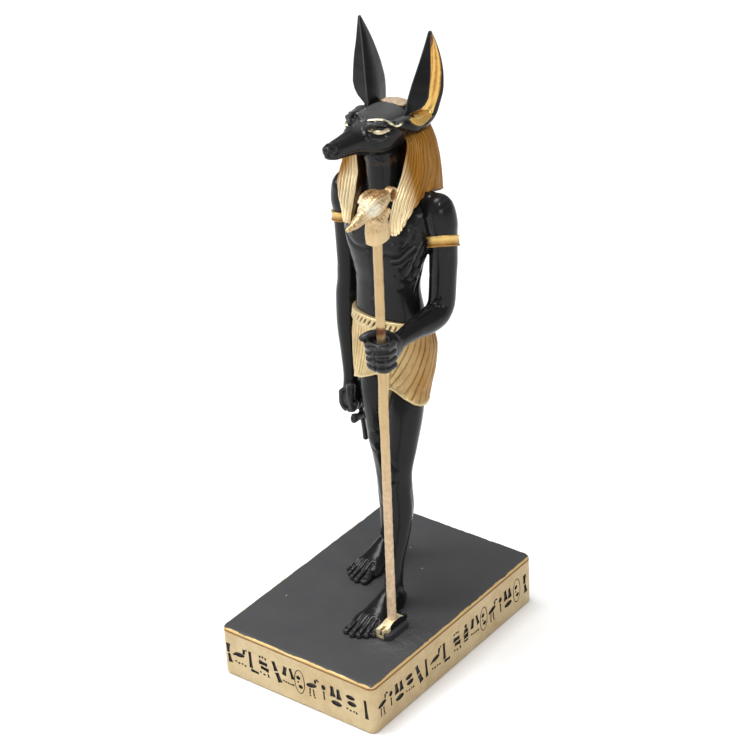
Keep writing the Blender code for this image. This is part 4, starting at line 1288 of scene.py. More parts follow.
def wig_level(z):
    """Outline of one side at a height: reach by angle from the front, and the first angle."""
    base = [np.interp(z, [r[1] for r in WIG_ROWS], [r[c] for r in WIG_ROWS]) for c in (0, 2, 3, 4)]
    lap = [np.interp(z, [r[2] for r in LAPPET_ROWS], [r[c] for r in LAPPET_ROWS]) for c in (0, 1, 3, 4, 5)]
    cy, a, f, b = base
    lx, ly, lw, l0, l1 = lap
    phi = np.radians(np.arange(0.0, 180.01, 0.25))
    across = np.sin(phi)[:, None]
    ahead = -np.cos(phi)[:, None]

    def in_base(t):
        x = t * across
        y = WIG_AXIS + t * ahead
        return (np.abs(x) / a) ** 2.1 + (np.abs(y - cy) / np.where(y < cy, f, b)) ** 2.1 <= 1

    def in_lap(t):
        x = t * across
        y = WIG_AXIS + t * ahead
        return (np.abs(x - lx) / lw) ** 3.6 + (np.abs(y - ly) / np.where(y < ly, l0, l1)) ** 3.6 <= 1

    first = 58.0
    if z < LAPPET_TOP:
        found = farthest(in_lap, len(phi), 0.5, 30.0) > 0.6
        r = farthest(lambda t: in_base(t) | in_lap(t), len(phi), 0.5, 30.0)
        if found.any():
            first = float(np.degrees(phi[int(np.argmax(found))]))
    else:
        r = farthest(in_base, len(phi), 0.5, 30.0)
    start = int(first * 4)
    r[start:] = smeared(r[start:], bell(1.5, 17))
    return phi, r, first


def wig_grid(levels):
    """Columns of the wig along its strands: places at each level, with their angles."""
    data = [wig_level(z) for z in levels]
    firsts = np.array([d[2] for d in data])
    low = levels < LAPPET_TOP
    firsts[low] = smeared(firsts[low], bell(1.6, 9))
    outlines = []
    for (phi, r, _), first in zip(data, firsts):
        a = np.concatenate([[math.radians(first)], phi[phi > math.radians(first)]])
        rr = np.interp(a, phi, r)
        x = rr * np.sin(a)
        y = WIG_AXIS - rr * np.cos(a)
        arc = np.concatenate([[0.0], np.cumsum(np.hypot(np.diff(x), np.diff(y)))])
        outlines.append([a, x, y, arc])
    steady = np.array([np.interp(math.radians(first + 9.0), outline[0], outline[3])
                       for outline, first in zip(outlines, firsts)])
    mean = steady.copy()
    mean[low] = smeared(steady[low], bell(1.6, 9))
    for o, was, now in zip(outlines, steady, mean):
        o[3] = o[3] - was + now
    ref = outlines[int(np.argmin(np.abs(levels - 200.0)))][3][-1]
    fine = np.linspace(0, ref, 4000)
    count = np.concatenate([[0.0], np.cumsum(np.diff(fine) / strand_pitch(fine[:-1]))])
    strands = int(round(count[-1]))
    count *= strands / count[-1]
    index = np.linspace(0, strands, strands * 9 + 1)
    s_col = np.interp(index, count, fine)
    px = np.zeros((len(levels), len(index)))
    py = np.zeros_like(px)
    ph = np.zeros_like(px)
    last = None
    for k, (a, x, y, arc) in enumerate(outlines):
        z = levels[k]
        if z < LAPPET_TOP:
            ratio = arc[-1] / ref
            back = np.clip((s_col - 9.0) / 20.0, 0, 1)
            high = np.clip((z - 203.0) / 8.0, 0, 1)
            at = s_col * (1 + (ratio - 1) * np.maximum(eased(back), eased(high)))
            at = at * arc[-1] / max(at[-1], 1e-6) if at[-1] > arc[-1] else at
            px[k], py[k], ph[k] = [np.interp(at, arc, values) for values in (x, y, np.degrees(a))]
            last = ph[k]
            continue
        # above the lappets the strands run straight to the crown and dip under the head in front
        begin = np.interp(z, [LAPPET_TOP, 222.0, 225.5], [last[0], last[0], 1.0])
        turn = np.where(last < 90, 90 - (90 - last) * (90 - begin) / (90 - last[0]), last)
        phi, r, _ = data[k]
        rr = np.interp(np.radians(turn), phi, r)
        edge = np.interp(z, [217.2, 219.2, 223.0, 225.0, 226.5, 227.5], [50, 116, 110, 78, 30, 0])
        sink = np.clip((edge - turn) / 12.0, 0, 1)
        rr = rr - np.minimum(3.2 * eased(sink), 0.45 * rr)
        px[k] = rr * np.sin(np.radians(turn))
        py[k] = WIG_AXIS - rr * np.cos(np.radians(turn))
        ph[k] = turn
    for grid in (px, py):
        kept = grid.copy()
        for k in range(2, len(levels) - 3):
            grid[k] = 0.12 * (kept[k - 2] + kept[k + 2]) + 0.22 * (kept[k - 1] + kept[k + 1]) + 0.32 * kept[k]
    return index, s_col, px, py, ph


def strand_pitch(s):
    return np.interp(s, [0, 9, 13, 20, 60], [1.30, 1.60, 2.8, 4.4, 4.4])


def make_wig(mat):
    levels = np.arange(WIG_LOW, 227.6, 0.75)
    index, s_col, px, py, ph = wig_grid(levels)
    cols = len(index)
    edge_phi = [p[0] for p in LOWER_EDGE]
    edge_z = [p[1] for p in LOWER_EDGE]
    bottom = np.zeros(cols)
    zs = np.arange(WIG_LOW, 200.0, 0.02)
    for j in range(cols):
        phis = np.interp(zs, levels, ph[:, j])
        ok = zs >= np.interp(phis, edge_phi, edge_z)
        bottom[j] = zs[int(np.argmax(ok))] if ok.any() else 199.0
    bottom = smeared(bottom, np.ones(13) / 13)
    rows = 120
    top = levels[-1]
    rings = []
    relief = []
    for k in range(rows + 1):
        g = k / rows
        g = 1 - (1 - g) ** 1.25
        z = bottom + (top - bottom) * g
        x = np.array([np.interp(z[j], levels, px[:, j]) for j in range(cols)])
        y = np.array([np.interp(z[j], levels, py[:, j]) for j in range(cols)])
        wobble = 0.05 * np.sin(z * 0.13 + index * 1.9)
        f = (index + wobble * (index > 0.5)) % 1.0
        crest = np.sqrt(np.clip(1 - (2 * f - 1) ** 2, 0, 1))
        soft_side = np.interp(s_col, [11, 15], [0, 1])
        crest = crest * (1 - soft_side) + (0.5 - 0.5 * np.cos(TAU * f)) * soft_side
        fade = np.clip((top - 1.5 - z) / 8.0, 0, 1)
        keep = 0.75 + 0.25 * np.sin(np.floor(index) * 2.4 + z * 0.09)
        amp = np.interp(s_col, [0, 10, 16, 60], [0.66, 0.64, 0.46, 0.42]) * fade * keep
        d = amp * (crest - 1.0)
        d += 0.25 * np.exp(-((z - bottom) / 0.8) ** 2)
        half = np.column_stack([x, y, z])
        # front out of sight, then the inner face of the lappet, painted dark as shadow from 190 mm up
        ax, ay = x[0], y[0]
        deep = 7.0 * float(np.clip((224.0 - z[0]) / 4.0, 0.01, 1.0))
        wall = []
        for t in (0.12, 0.3, 0.5, 0.75, 1.0):
            wall.append((ax * (1 - 0.02 * t), ay + deep * t, z[0] + 0.05 * t))
        wall = np.array(wall)[::-1]
        centre = np.array([(wall[0][0] * c, wall[0][1] + 0.1 * (1 - c), wall[0][2]) for c in (0.0, 0.5)])
        side = np.vstack([centre[1:], wall, half])
        rel = np.concatenate([np.zeros(len(side) - cols), d])
        # painted shade: the strand grooves are darkened, less on the sides and back
        groove = (1 - crest) ** np.interp(s_col, [11, 16], [0.75, 1.1])
        groove *= np.interp(s_col, [11, 16], [1.0, 0.55])
        cav = np.concatenate([np.full(len(side) - cols, 0.8), groove * (0.25 + 0.75 * fade)])
        wall_shade = float(np.clip((z[0] - 190.0) / 5.0, 0, 1))
        wall_shadow = np.concatenate([np.full(len(side) - cols, wall_shade), np.zeros(cols)])
        mirror = side[::-1] * np.array((-1, 1, 1))
        ring = np.vstack([centre[:1], side, mirror[1:]])
        rings.append(ring)
        relief.append((np.concatenate([[0.0], rel, rel[::-1][1:]]),
                       np.concatenate([[0.8], cav, cav[::-1][1:]]),
                       np.concatenate([[1.0], wall_shadow, wall_shadow[::-1][1:]])))
    # turn the lower edge in under itself
    first = rings[0]
    centre = np.array((0.0, 21.0, 0.0))
    under = []
    for pull, lift in ((2.2, 1.4), (1.2, 0.35), (0.45, 0.05)):
        ring = first.copy()
        away = ring[:, :2] - centre[:2]
        away /= np.maximum(np.linalg.norm(away, axis=1), 1e-6)[:, None]
        ring[:, :2] -= away * pull
        ring[:, 2] += lift - 0.12
        under.append(ring)
    zero = (np.zeros(len(first)), np.full(len(first), 0.85), np.zeros(len(first)))
    rings = under + rings
    relief = [zero] * 3 + relief
    obj = skin(rings, "wig")
    shift = np.append(np.concatenate([r[0] for r in relief]), [0, 0])
    cav = np.append(np.concatenate([r[1] for r in relief]), [0.5, 0.3])
    dark = np.append(np.concatenate([r[2] for r in relief]), [1.0, 0.0])
    pts = coords(obj)
    nor = normals(obj)
    calm = np.clip((top - 0.6 - pts[:, 2]) / 1.5, 0, 1)
    pts = pts + nor * ((shift + 0.04 * smooth_noise(pts, 9.0, 5)) * calm)[:, None]
    put_coords(obj, pts)
    turn = np.degrees(np.arctan2(np.abs(pts[:, 0]), WIG_AXIS - pts[:, 1]))
    # amber on the sides and back, partly the paint's tone and partly painted shade, and on the inner faces of
    # the lappets as painted shade
    back = np.interp(turn, [46, 60], [0.0, 1.0])
    inner = np.interp(turn, [28, 34], [0.7, 0.0]) * (pts[:, 2] < 208)
    crown = np.clip((pts[:, 2] - 222.5) / 2.0, 0, 1)
    out = np.abs(pts[:, 0])
    ahead = np.clip((CAP_FRONT + CAP_SLANT * out - pts[:, 1]) / 0.6 + 0.5, 0, 1)
    ahead = np.maximum(ahead, np.clip((out - 4.8) / 0.6, 0, 1) * (pts[:, 1] < 29.0)) * (pts[:, 2] > CAP_Z)
    amber = np.maximum(back * (0.98 + 0.03 * smooth_noise(pts * (1, 1, 0.3), 9.0, 6)), inner)
    return finished(obj, [mat], dark=dark, black=ahead,
                    chalk=crown * (1 - ahead) * np.clip((31.0 - pts[:, 1]) / 2.0, 0, 1),
                    cav=((0.14 + 0.84 * cav) * (1 - crown) + 0.66 * crown).clip(0, 1),
                    deep=(amber * (1 - 0.8 * crown)).clip(0, 1))


# Kilt, belt and armlets

# Zero, centre y, height, half width, front depth and back depth
KILT_ROWS = smooth_rows([
    (0, 15.0, 103.0, 14.6, 11.2, 9.4),
    (0, 15.6, 112.0, 16.2, 11.2, 10.4),
    (0, 16.6, 122.0, 17.9, 10.4, 11.3),
    (0, 17.2, 130.0, 18.4, 9.9, 11.7),
    (0, 16.9, 137.0, 17.2, 9.3, 10.9),
    (0, 16.4, 142.8, 15.9, 8.7, 9.5),
], 1.0)


KILT_CENTRE = 15.6
PLEATS_TOP = 138.4
KILT_TOP = 142.2


def kilt_at(z):
    return [float(np.interp(z, KILT_ROWS[:, 2], KILT_ROWS[:, c])) for c in (1, 3, 4, 5)]


def kilt_reach(z, angles):
    """Distance from the kilt's axis to the cloth, which lies over the hips and both thighs."""
    cy, a, f, b = kilt_at(z)
    across = np.sin(angles)[:, None]
    ahead = -np.cos(angles)[:, None]

    def covered(t):
        x = t * across
        y = KILT_CENTRE + t * ahead
        out = (np.abs(x) / a) ** 2.15 + (np.abs(y - cy) / np.where(y < cy, f, b)) ** 2.15 <= 1
        for rows in THIGHS:
            if z < rows[-1][2] + 4:
                heights = [r[2] for r in rows]
                cx, ty, w, low, high = [np.interp(z, heights, [r[c] for r in rows]) for c in (0, 1, 3, 4, 5)]
                depth = np.where(y < ty, low, high) + 0.9
                out |= ((x - cx) / (w + 0.9)) ** 2 + ((y - ty) / depth) ** 2 <= 1
        return out

    return farthest(covered, len(angles), 4.0, 24.0)


def hem_z(angle):
    table = [(-180, 106), (-130, 106.5), (-90, 109.5), (-70, 112.6), (-53.8, 114.8), (-41.8, 115.8),
             (-23.7, 117.7), (-2.6, 119.6), (5, 119.8), (9, 116.2), (24, 115.9), (34, 115.3), (41.6, 114.5),
             (49, 113.2), (56, 111.7), (65, 109.8), (74, 108.4), (90, 107.4), (110, 106.6), (135, 106.2),
             (180, 106)]
    return np.interp(angle, [p[0] for p in table], [p[1] for p in table])


def make_kilt(mat):
    sides = 720
    high = 80
    angle = np.linspace(-math.pi, math.pi, sides, endpoint=False)
    deg = np.degrees(angle)
    levels = np.arange(105.0, 143.1, 1.0)
    table = np.array([smeared(kilt_reach(z, angle), bell(1.6, 25), True) for z in levels])
    z0 = smeared(hem_z(deg), np.ones(5) / 5, True)
    left = deg > 7.0
    arc = np.abs(angle) * 15.0
    rings = []
    relief = []
    for k in range(high + 1):
        z = z0 + (KILT_TOP - z0) * k / high
        r = np.array([np.interp(z[i], levels, table[:, i]) for i in range(sides)])
        up = z - z0
        # the left panel lies over the right one
        over = np.clip((deg - 6.0) / 2.0, 0, 1) * np.clip((178.0 - deg) / 4.0, 0, 1)
        r = r + 0.55 * over * np.clip((PLEATS_TOP - z) / 0.6, 0, 1)
        lean = 1.5 * np.exp(-arc / 16.0)
        n = np.where(left, (arc - lean * up + 60.0) / 2.7, (arc + 0.05 * up) / 1.85)
        fr = n % 1.0
        groove = np.exp(-(np.minimum(fr, 1 - fr) / 0.15) ** 2)
        fade = np.clip((PLEATS_TOP - z) / 2.0, 0, 1)
        hem = np.exp(-((up - 0.5) / 0.75) ** 2)
        vary = 0.7 + 0.3 * np.sin(np.floor(n) * 2.1 + z * 0.12)
        d = fade * vary * ((0.5 - fr) * 0.42 - 0.26 * groove) * (1 - 0.85 * hem) + 0.26 * hem
        calm = np.interp(arc, [3.0, 12.0], [0.15, 1.0])
        # painted shade: the pleat grooves and one side of each pleat are darkened, less near the front
        cav = (0.10 + (0.46 * groove * vary + 0.34 * fr) * calm) * (1 - 0.8 * hem) * fade
        rings.append(np.column_stack([r * np.sin(angle), KILT_CENTRE - r * np.cos(angle), z]))
        relief.append(np.column_stack([d, cav, hem]))
    first = rings[0]
    inner = []
    for pull, lift in ((2.6, 0.9), (1.3, -0.02), (0.3, -0.18)):
        ring = first.copy()
        away = ring[:, :2] - np.array((0.0, KILT_CENTRE))
        away /= np.linalg.norm(away, axis=1)[:, None]
        ring[:, :2] -= away * pull
        ring[:, 2] += lift
        inner.append(ring)
    flat = np.column_stack([np.zeros(sides), np.full(sides, 0.6), np.zeros(sides)])
    obj = skin(inner + rings, "kilt")
    flat = np.vstack([flat] * 3 + relief)
    shift = np.append(flat[:, 0], [0, 0])
    cav = np.append(flat[:, 1], [0.5, 0.5])
    hem = np.append(flat[:, 2], [0, 0])
    pts = coords(obj)
    nor = normals(obj)
    put_coords(obj, pts + nor * (shift + 0.05 * smooth_noise(pts, 6.0, 8))[:, None])
    # painted shade: the rings turned in under the hem are dark
    dark = np.concatenate([np.ones(sides), np.full(sides, 0.6), np.zeros(sides * (high + 2)), [1.0, 0.0]])
    turn = np.degrees(np.arctan2(pts[:, 0], KILT_CENTRE - pts[:, 1]))
    # amber on the sides and back, partly the paint's tone and partly painted shade
    panel = np.interp(turn, [-180, -90, -80, 7, 24, 80], [0.8, 0.6, 0.12, 0.0, 0.06, 0.80])
    deep = panel * (1 - 0.8 * hem) + 0.10 * smooth_noise(pts * (1, 1, 0.35), 7.0, 9)
    return finished(obj, [mat], cav=(0.20 + 0.74 * cav).clip(0, 1), dark=dark, deep=deep.clip(0, 1))


def make_belt(mat):
    sides = 520
    prof = [(138.0, -2.5), (138.05, 0.2), (138.2, 0.75), (138.6, 0.95), (139.0, 0.85), (139.3, 0.62),
            (139.8, 0.60), (140.3, 0.60), (140.8, 0.60), (141.3, 0.60), (141.8, 0.62), (142.1, 0.85),
            (142.5, 0.95), (142.9, 0.75), (143.05, 0.2), (143.1, -2.5)]
    rings = []
    dark = []
    for z, out in prof:
        ring = []
        notch_shade = []
        cy, a, f, b = kilt_at(min(z, 142.8))
        for i in range(sides):
            t = TAU * i / sides
            u, v = oval(t, a + out, f + out, b + out, 2.15)
            angle = math.atan2(math.cos(t), -math.sin(t))
            n = (angle * 15.2 - 0.55 * (z - 140.5)) / 2.05
            fr = n % 1.0 - 0.5
            # the notches between the studs are sunk and painted dark as shade
            mark = math.exp(-((fr / 0.20) ** 4)) * math.exp(-((z - 140.55) / 1.25) ** 4)
            stud = math.exp(-((abs(fr) - 0.5) / 0.2) ** 2) * math.exp(-((z - 140.55) / 1.3) ** 4)
            r = math.hypot(u, v)
            k = 1.0 + (0.35 * stud - 0.30 * mark) / r if out > 0.3 else 1.0
            ring.append((u * k, cy + v * k, z))
            notch_shade.append(mark if out > 0.3 else 0.0)
        rings.append(ring)
        dark.append(notch_shade)
    obj = skin(rings, "belt")
    dark = np.append(np.array(dark).ravel(), [0, 0])
    return finished(obj, [mat], dark=dark * 0.85, cav=(0.30 + 0.6 * dark).clip(0, 1))


def make_tab(mat):
    obj = merged("belt_tab", [limb("tab", [
        (1.6, 7.4, 94.5, 2.2, 1.5, 1.5, 3.0),
        (2.8, 6.0, 106.0, 2.4, 1.6, 1.5, 3.0),
        (4.2, 5.6, 121.0, 2.5, 2.0, 2.0, 3.0),
        (4.0, 6.6, 130.0, 2.4, 1.6, 1.6, 3.0),
        (3.4, 7.2, 138.6, 2.3, 1.3, 1.5, 3.0),
    ], round_ends=False)], 0.3, 2)
    s = Sculpt(obj)
    # painted shade in the gaps just above each bead
    for z in np.arange(95.8, 137.5, 1.9):
        x0 = np.interp(z, [94.5, 121.0, 130.0, 138.6], [1.6, 4.2, 4.0, 3.4])
        for x in (-1.5, 0.0, 1.5):
            spot = [snapped(s.tree, [(x0 + x, 3.4, z), (x0 + x, 3.4, z + 0.4)])]
            s.stroke(spot, 0.62, 0.42)
            s.paint("dark", [spot[0] + (0, 0, 0.95)], 0.34, 0.2, 0.9)
        side = [snapped(s.tree, [(x0 + 3.2, 7.4, z), (x0 + 3.2, 7.4, z + 0.4)])]
        s.stroke(side, 0.6, 0.3)
        s.paint("dark", [side[0] + (0, 0, 0.95)], 0.40, 0.2, 0.9)
    s.done()
    return finished(obj, [mat], cav=(0.3 + 0.8 * (cavity(obj, 6, 0.5) - 0.5)).clip(0, 1))


def make_armlet(s, mat):
    x0 = 22.8 if s > 0 else -22.2
    y0 = 20.9
    mid = 176.3 if s > 0 else 176.6
    tilt = 3.1 if s > 0 else 1.4
    tall = 0.97 if s > 0 else 0.84
    half = [(2.4, -0.6), (2.42, 0.40), (2.3, 0.78), (2.0, 0.92), (1.7, 0.85), (1.45, 0.60), (1.1, 0.56)]
    prof = [(-up, out) for up, out in half] + [(0, 0.60)] + half[::-1]
    fine = []
    for (za, oa), (zb, ob) in zip(prof, prof[1:]):
        fine += [(za + (zb - za) * t, oa + (ob - oa) * t) for t in (0, 1 / 3, 2 / 3)]
    fine.append(prof[-1])
    rings = []
    around = 160
    for dz, out in fine:
        ring = []
        for i in range(around):
            c = math.cos(TAU * i / around)
            d = math.sin(TAU * i / around)
            lift = tilt * (0.616 * c - 0.787 * d)
            ring.append((x0 + (5.4 + out) * c, y0 + (5.7 + out) * d, mid + lift + tall * dz))
        rings.append(ring)
    obj = skin(rings, "armlet_left" if s > 0 else "armlet_right")
    pts = coords(obj)
    nor = normals(obj)
    put_coords(obj, pts + nor * (0.07 * smooth_noise(pts, 5.0, 11 + s))[:, None])
    # painted light and shade: the upper half and rims stay pale, and the grooves and lower half are darkened
    # and turn amber
    up = np.append(np.repeat([p[0] for p in fine], around), [0, 0])
    cav = np.interp(up, [-2.4, -2.0, -1.5, -1.1, -0.2, 0.5, 1.1, 1.5, 2.0, 2.4],
                    [0.60, 0.30, 0.90, 0.62, 0.50, 0.16, 0.05, 0.70, 0.08, 0.30])
    return finished(obj, [mat], cav=cav, deep=np.interp(up, [-2.0, -0.4, 0.9], [0.80, 0.60, 0.05]))


# Staff

def make_sceptre_head(mat):
    hx, hy = ROD_HEAD
    z = ROD_HEAD_Z
    shells = [
        limb("collar", placed([
            (0, 0, 0, 3.2, 4.9, 4.8, 3.0),
            (0, -0.2, 4.0, 3.3, 5.0, 4.9, 3.0),
            (0, -0.4, 9.0, 2.9, 4.4, 4.6, 2.8),
            (0, -0.8, 13.0, 2.8, 4.0, 4.6, 2.2),
        ], hx, hy, z), round_ends=False),
        limb("skull", placed([
            (0, -6.8, 13.6, 3.0, 3.6, 3.4),
            (0, -3.0, 14.4, 4.0, 4.4),
            (0, 1.6, 15.0, 3.6, 4.2, 3.8),
            (0, 4.6, 15.2, 2.6, 3.0, 2.6),
        ], hx, hy, z)),
        limb("snout", placed([
            (0, -17.2, 10.9, 0.8),
            (0, -13.5, 11.4, 1.6),
            (0, -9.5, 12.4, 2.2, 2.5, 2.4),
            (0, -5.5, 13.4, 2.9, 3.4, 3.2),
        ], hx, hy, z), step=0.8, sides=28),
    ]
    for s in (-1, 1):
        shells.append(limb("brow", [
            (hx + s * 2.3, hy - 6.6, z + 17.0, 0.8),
            (hx + s * 2.9, hy - 3.8, z + 18.2, 1.0),
            (hx + s * 3.0, hy - 0.4, z + 18.3, 1.0),
            (hx + s * 2.6, hy + 3.4, z + 17.4, 0.8),
        ], step=0.6, sides=20))
    disc = []
    for dx, r in ((-1.5, 1.9), (-1.0, 2.5), (1.0, 2.6), (1.7, 2.6), (2.0, 2.3), (1.6, 1.8), (0.2, 1.2)):
        disc.append([(hx + dx, hy + 8.0 + r * math.cos(TAU * i / 40),
                      z + 15.4 + r * math.sin(TAU * i / 40)) for i in range(40)])
    shells.append(skin(disc, "ear"))
    # frill of small lobes behind the jaw
    for s in (-1, 1):
        for k in range(6):
            a = -0.35 - 0.42 * k
            place = (hx + s * 3.1, hy - 1.6 + 4.6 * math.cos(a), z + 12.6 + 3.6 * math.sin(a))
            shells.append(blob("lobe", place, (1.0, 1.15, 1.15)))
    head = merged("sceptre_head", shells, 0.22, 1)
    s = Sculpt(head)
    face = np.exp(-((s.pts[:, 1] - hy + 5.4) / 4.0) ** 2 - ((s.pts[:, 2] - z - 15.2) / 3.2) ** 2)
    s.shift += 0.10 * smooth_noise(s.pts, 1.5, 21) * (s.pts[:, 2] > z + 8)
    s.shift += 0.11 * smooth_noise(s.pts, 0.9, 22) * face
    s.shift += 0.045 * smooth_noise(s.pts, 0.8, 23)
    # eye sockets, mouth, cheeks and nostrils
    for side in (-1, 1):
        for line, width, height in (
                ([(3.4, -6.6, 12.2), (3.4, -6.2, 12.3)], 1.0, 0.4),
                ([(3.4, -6.6, 12.2), (3.4, -6.2, 12.3)], 0.45, -0.9),
                ([(1.4, -16, 10.6), (2.2, -12, 10.8), (3.0, -8, 11.0)], 0.4, -0.45),
                ([(2.4, -11.0, 13.6), (3.2, -8.6, 14.6), (3.4, -7.2, 15.8)], 0.5, -0.4)):
            s.snap([(hx + side * dx, hy + dy, z + dz) for dx, dy, dz in line], width, height)
        s.bump((hx + side * 1.3, hy - 14.2, z + 11.9), (0.5, 0.6, 0.5), -0.55)

    def collar_point(a, up):
        return hx + 5 * math.cos(a), hy + 7 * math.sin(a), z + up

    # a ring round the collar and short grooves below it
    s.stroke([snapped(s.tree, [collar_point(a, 9.4) for a in np.linspace(0, TAU, 33)], 0.6)], 0.4, -0.25)
    for k in range(7):
        a = -1.9 + 0.6 * k
        s.snap([collar_point(a, 8.6), collar_point(a + 0.1, 5.4)], 0.3, -0.14)
    s.done()
    pts = coords(head)
    cav = cavity(head, 8, 0.45)
    # painted shade: the ear's cup is darkened and turned amber
    from_cup = (pts[:, 1] - hy - 8.0) ** 2 + (pts[:, 2] - z - 15.4) ** 2
    cup = np.exp(-(from_cup / 1.9 ** 2) ** 2) * (pts[:, 0] > hx + 0.1)
    ridge = np.clip((pts[:, 2] - z - 16.8) / 1.4, 0, 1) * (1 - face) * (pts[:, 1] > hy - 8.5)
    # painted highlight: the middle of the face is lightened and given a pale matt patch
    return finished(head, [mat],
                    cav=(cav - 0.10 + 0.38 * cup - 0.30 * face + 0.34 * ridge).clip(0, 1),
                    deep=np.maximum(0.35 * ridge, 0.8 * cup).clip(0, 1),
                    chalk=np.clip(1.7 * face - 0.35 - 0.9 * (cav - 0.4), 0, 0.9))


def make_rod(mat):
    rings = []
    low = ROD_FOOT_Z + 1.6
    high = ROD_HEAD_Z + 2.0
    for k in range(181):
        z = low + (high - low) * k / 180
        x, y = rod_at(z)
        slim = np.interp(z, [30, 60, 160], [0.20, 0.30, 0.22])
        ring = []
        for i in range(40):
            a = TAU * i / 40
            r = 2.0 - slim + 0.03 * math.sin(z * 0.8 + 3 * a) + 0.025 * math.sin(z * 1.9 - 2 * a)
            ring.append((x - 0.35 + r * math.cos(a), y + r * math.sin(a), z))
        rings.append(ring)
    rod = skin(rings, "sceptre_rod")
    pts = coords(rod)
    # darker just above and below the fist
    grip = np.exp(-((pts[:, 2] - 155.5) / 2.2) ** 2) + np.exp(-((pts[:, 2] - 139.5) / 1.0) ** 2)
    return finished(rod, [mat], 50,
                    cav=(0.30 + 0.75 * grip + 0.1 * smooth_noise(pts, 5.0, 31)).clip(0, 1),
                    chalk=np.interp(pts[:, 2], [30, 75, 120], [0.85, 0.6, 0.0]))


def make_sceptre_foot(mat, black):
    fx, fy = ROD_FOOT
    z0 = ROD_FOOT_Z - 0.3
    rings = []
    for y, w, h in ((-6.6, 2.3, 1.9), (-4.4, 2.3, 2.2), (-2.2, 2.2, 2.9), (2.2, 2.2, 2.9), (4.4, 2.3, 2.2),
                    (6.6, 2.3, 1.9)):
        rings.append([(fx + x, fy + y, z0 + up) for x, up in ((-w, 0), (w, 0), (w - 0.25, h), (0.25 - w, h))])
    base = skin(rings, "sceptre_foot")
    prong = block("prong", (fx - 2.2, fx + 1.3), (fy - 8.1, fy - 5.9), (23.1, z0 + 1.8))
    boolean(base, prong, "UNION", "EXACT")
    for y in (fy - 6.9, fy + 7.0):
        notch = block("notch", (fx - 0.7, fx + 0.7), (y - 1.9, y + 1.9), (z0 - 1, z0 + 5))
        boolean(base, notch, solver="EXACT")
    ease = base.modifiers.new("ease", "BEVEL")
    ease.width = 0.28 * MM
    ease.segments = 3
    ease.limit_method = "ANGLE"
    applied(base)
    count = len(base.data.vertices)
    finished(base, [mat, black], 40, cav=np.full(count, 0.15), edge=np.full(count, 0.5))
    # the rear and the outer side are black
    for poly in base.data.polygons:
        c = poly.center / MM
        turned = c.y > fy - 3.4 and (poly.normal.x > 0.6 or c.y > fy + 3.0)
        poly.material_index = 1 if turned and c.z < z0 + 2.4 else 0
    return base


# Plinth with the engraved band of strokes

def lens(cx, cz, w, h, lean=0.0, sides=14):
    out = []
    for i in range(sides):
        a = TAU * i / sides
        x = (w * 1.10 + 0.12) * math.cos(a)
        y = (h * 1.12 + 0.12) * math.sin(a)
        out.append((cx + x + lean * y, cz + y))
    return out


def bar(x0, z0, x1, z1, w0, w1):
    """Tapered stroke from one end to the other."""
    a = np.array((x0, z0), dtype=float)
    b = np.array((x1, z1), dtype=float)
    n = np.array((-(b - a)[1], (b - a)[0]))
    n /= np.linalg.norm(n)
    m = (a + b) / 2
    w0 = w0 * 1.22 + 0.16
    w1 = w1 * 1.22 + 0.16
    wm = (w0 + w1) / 2 * 0.82
    pts = [a + n * w0, m + n * wm, b + n * w1, b - n * w1, m - n * wm, a - n * w0]
    return [tuple(p) for p in pts]


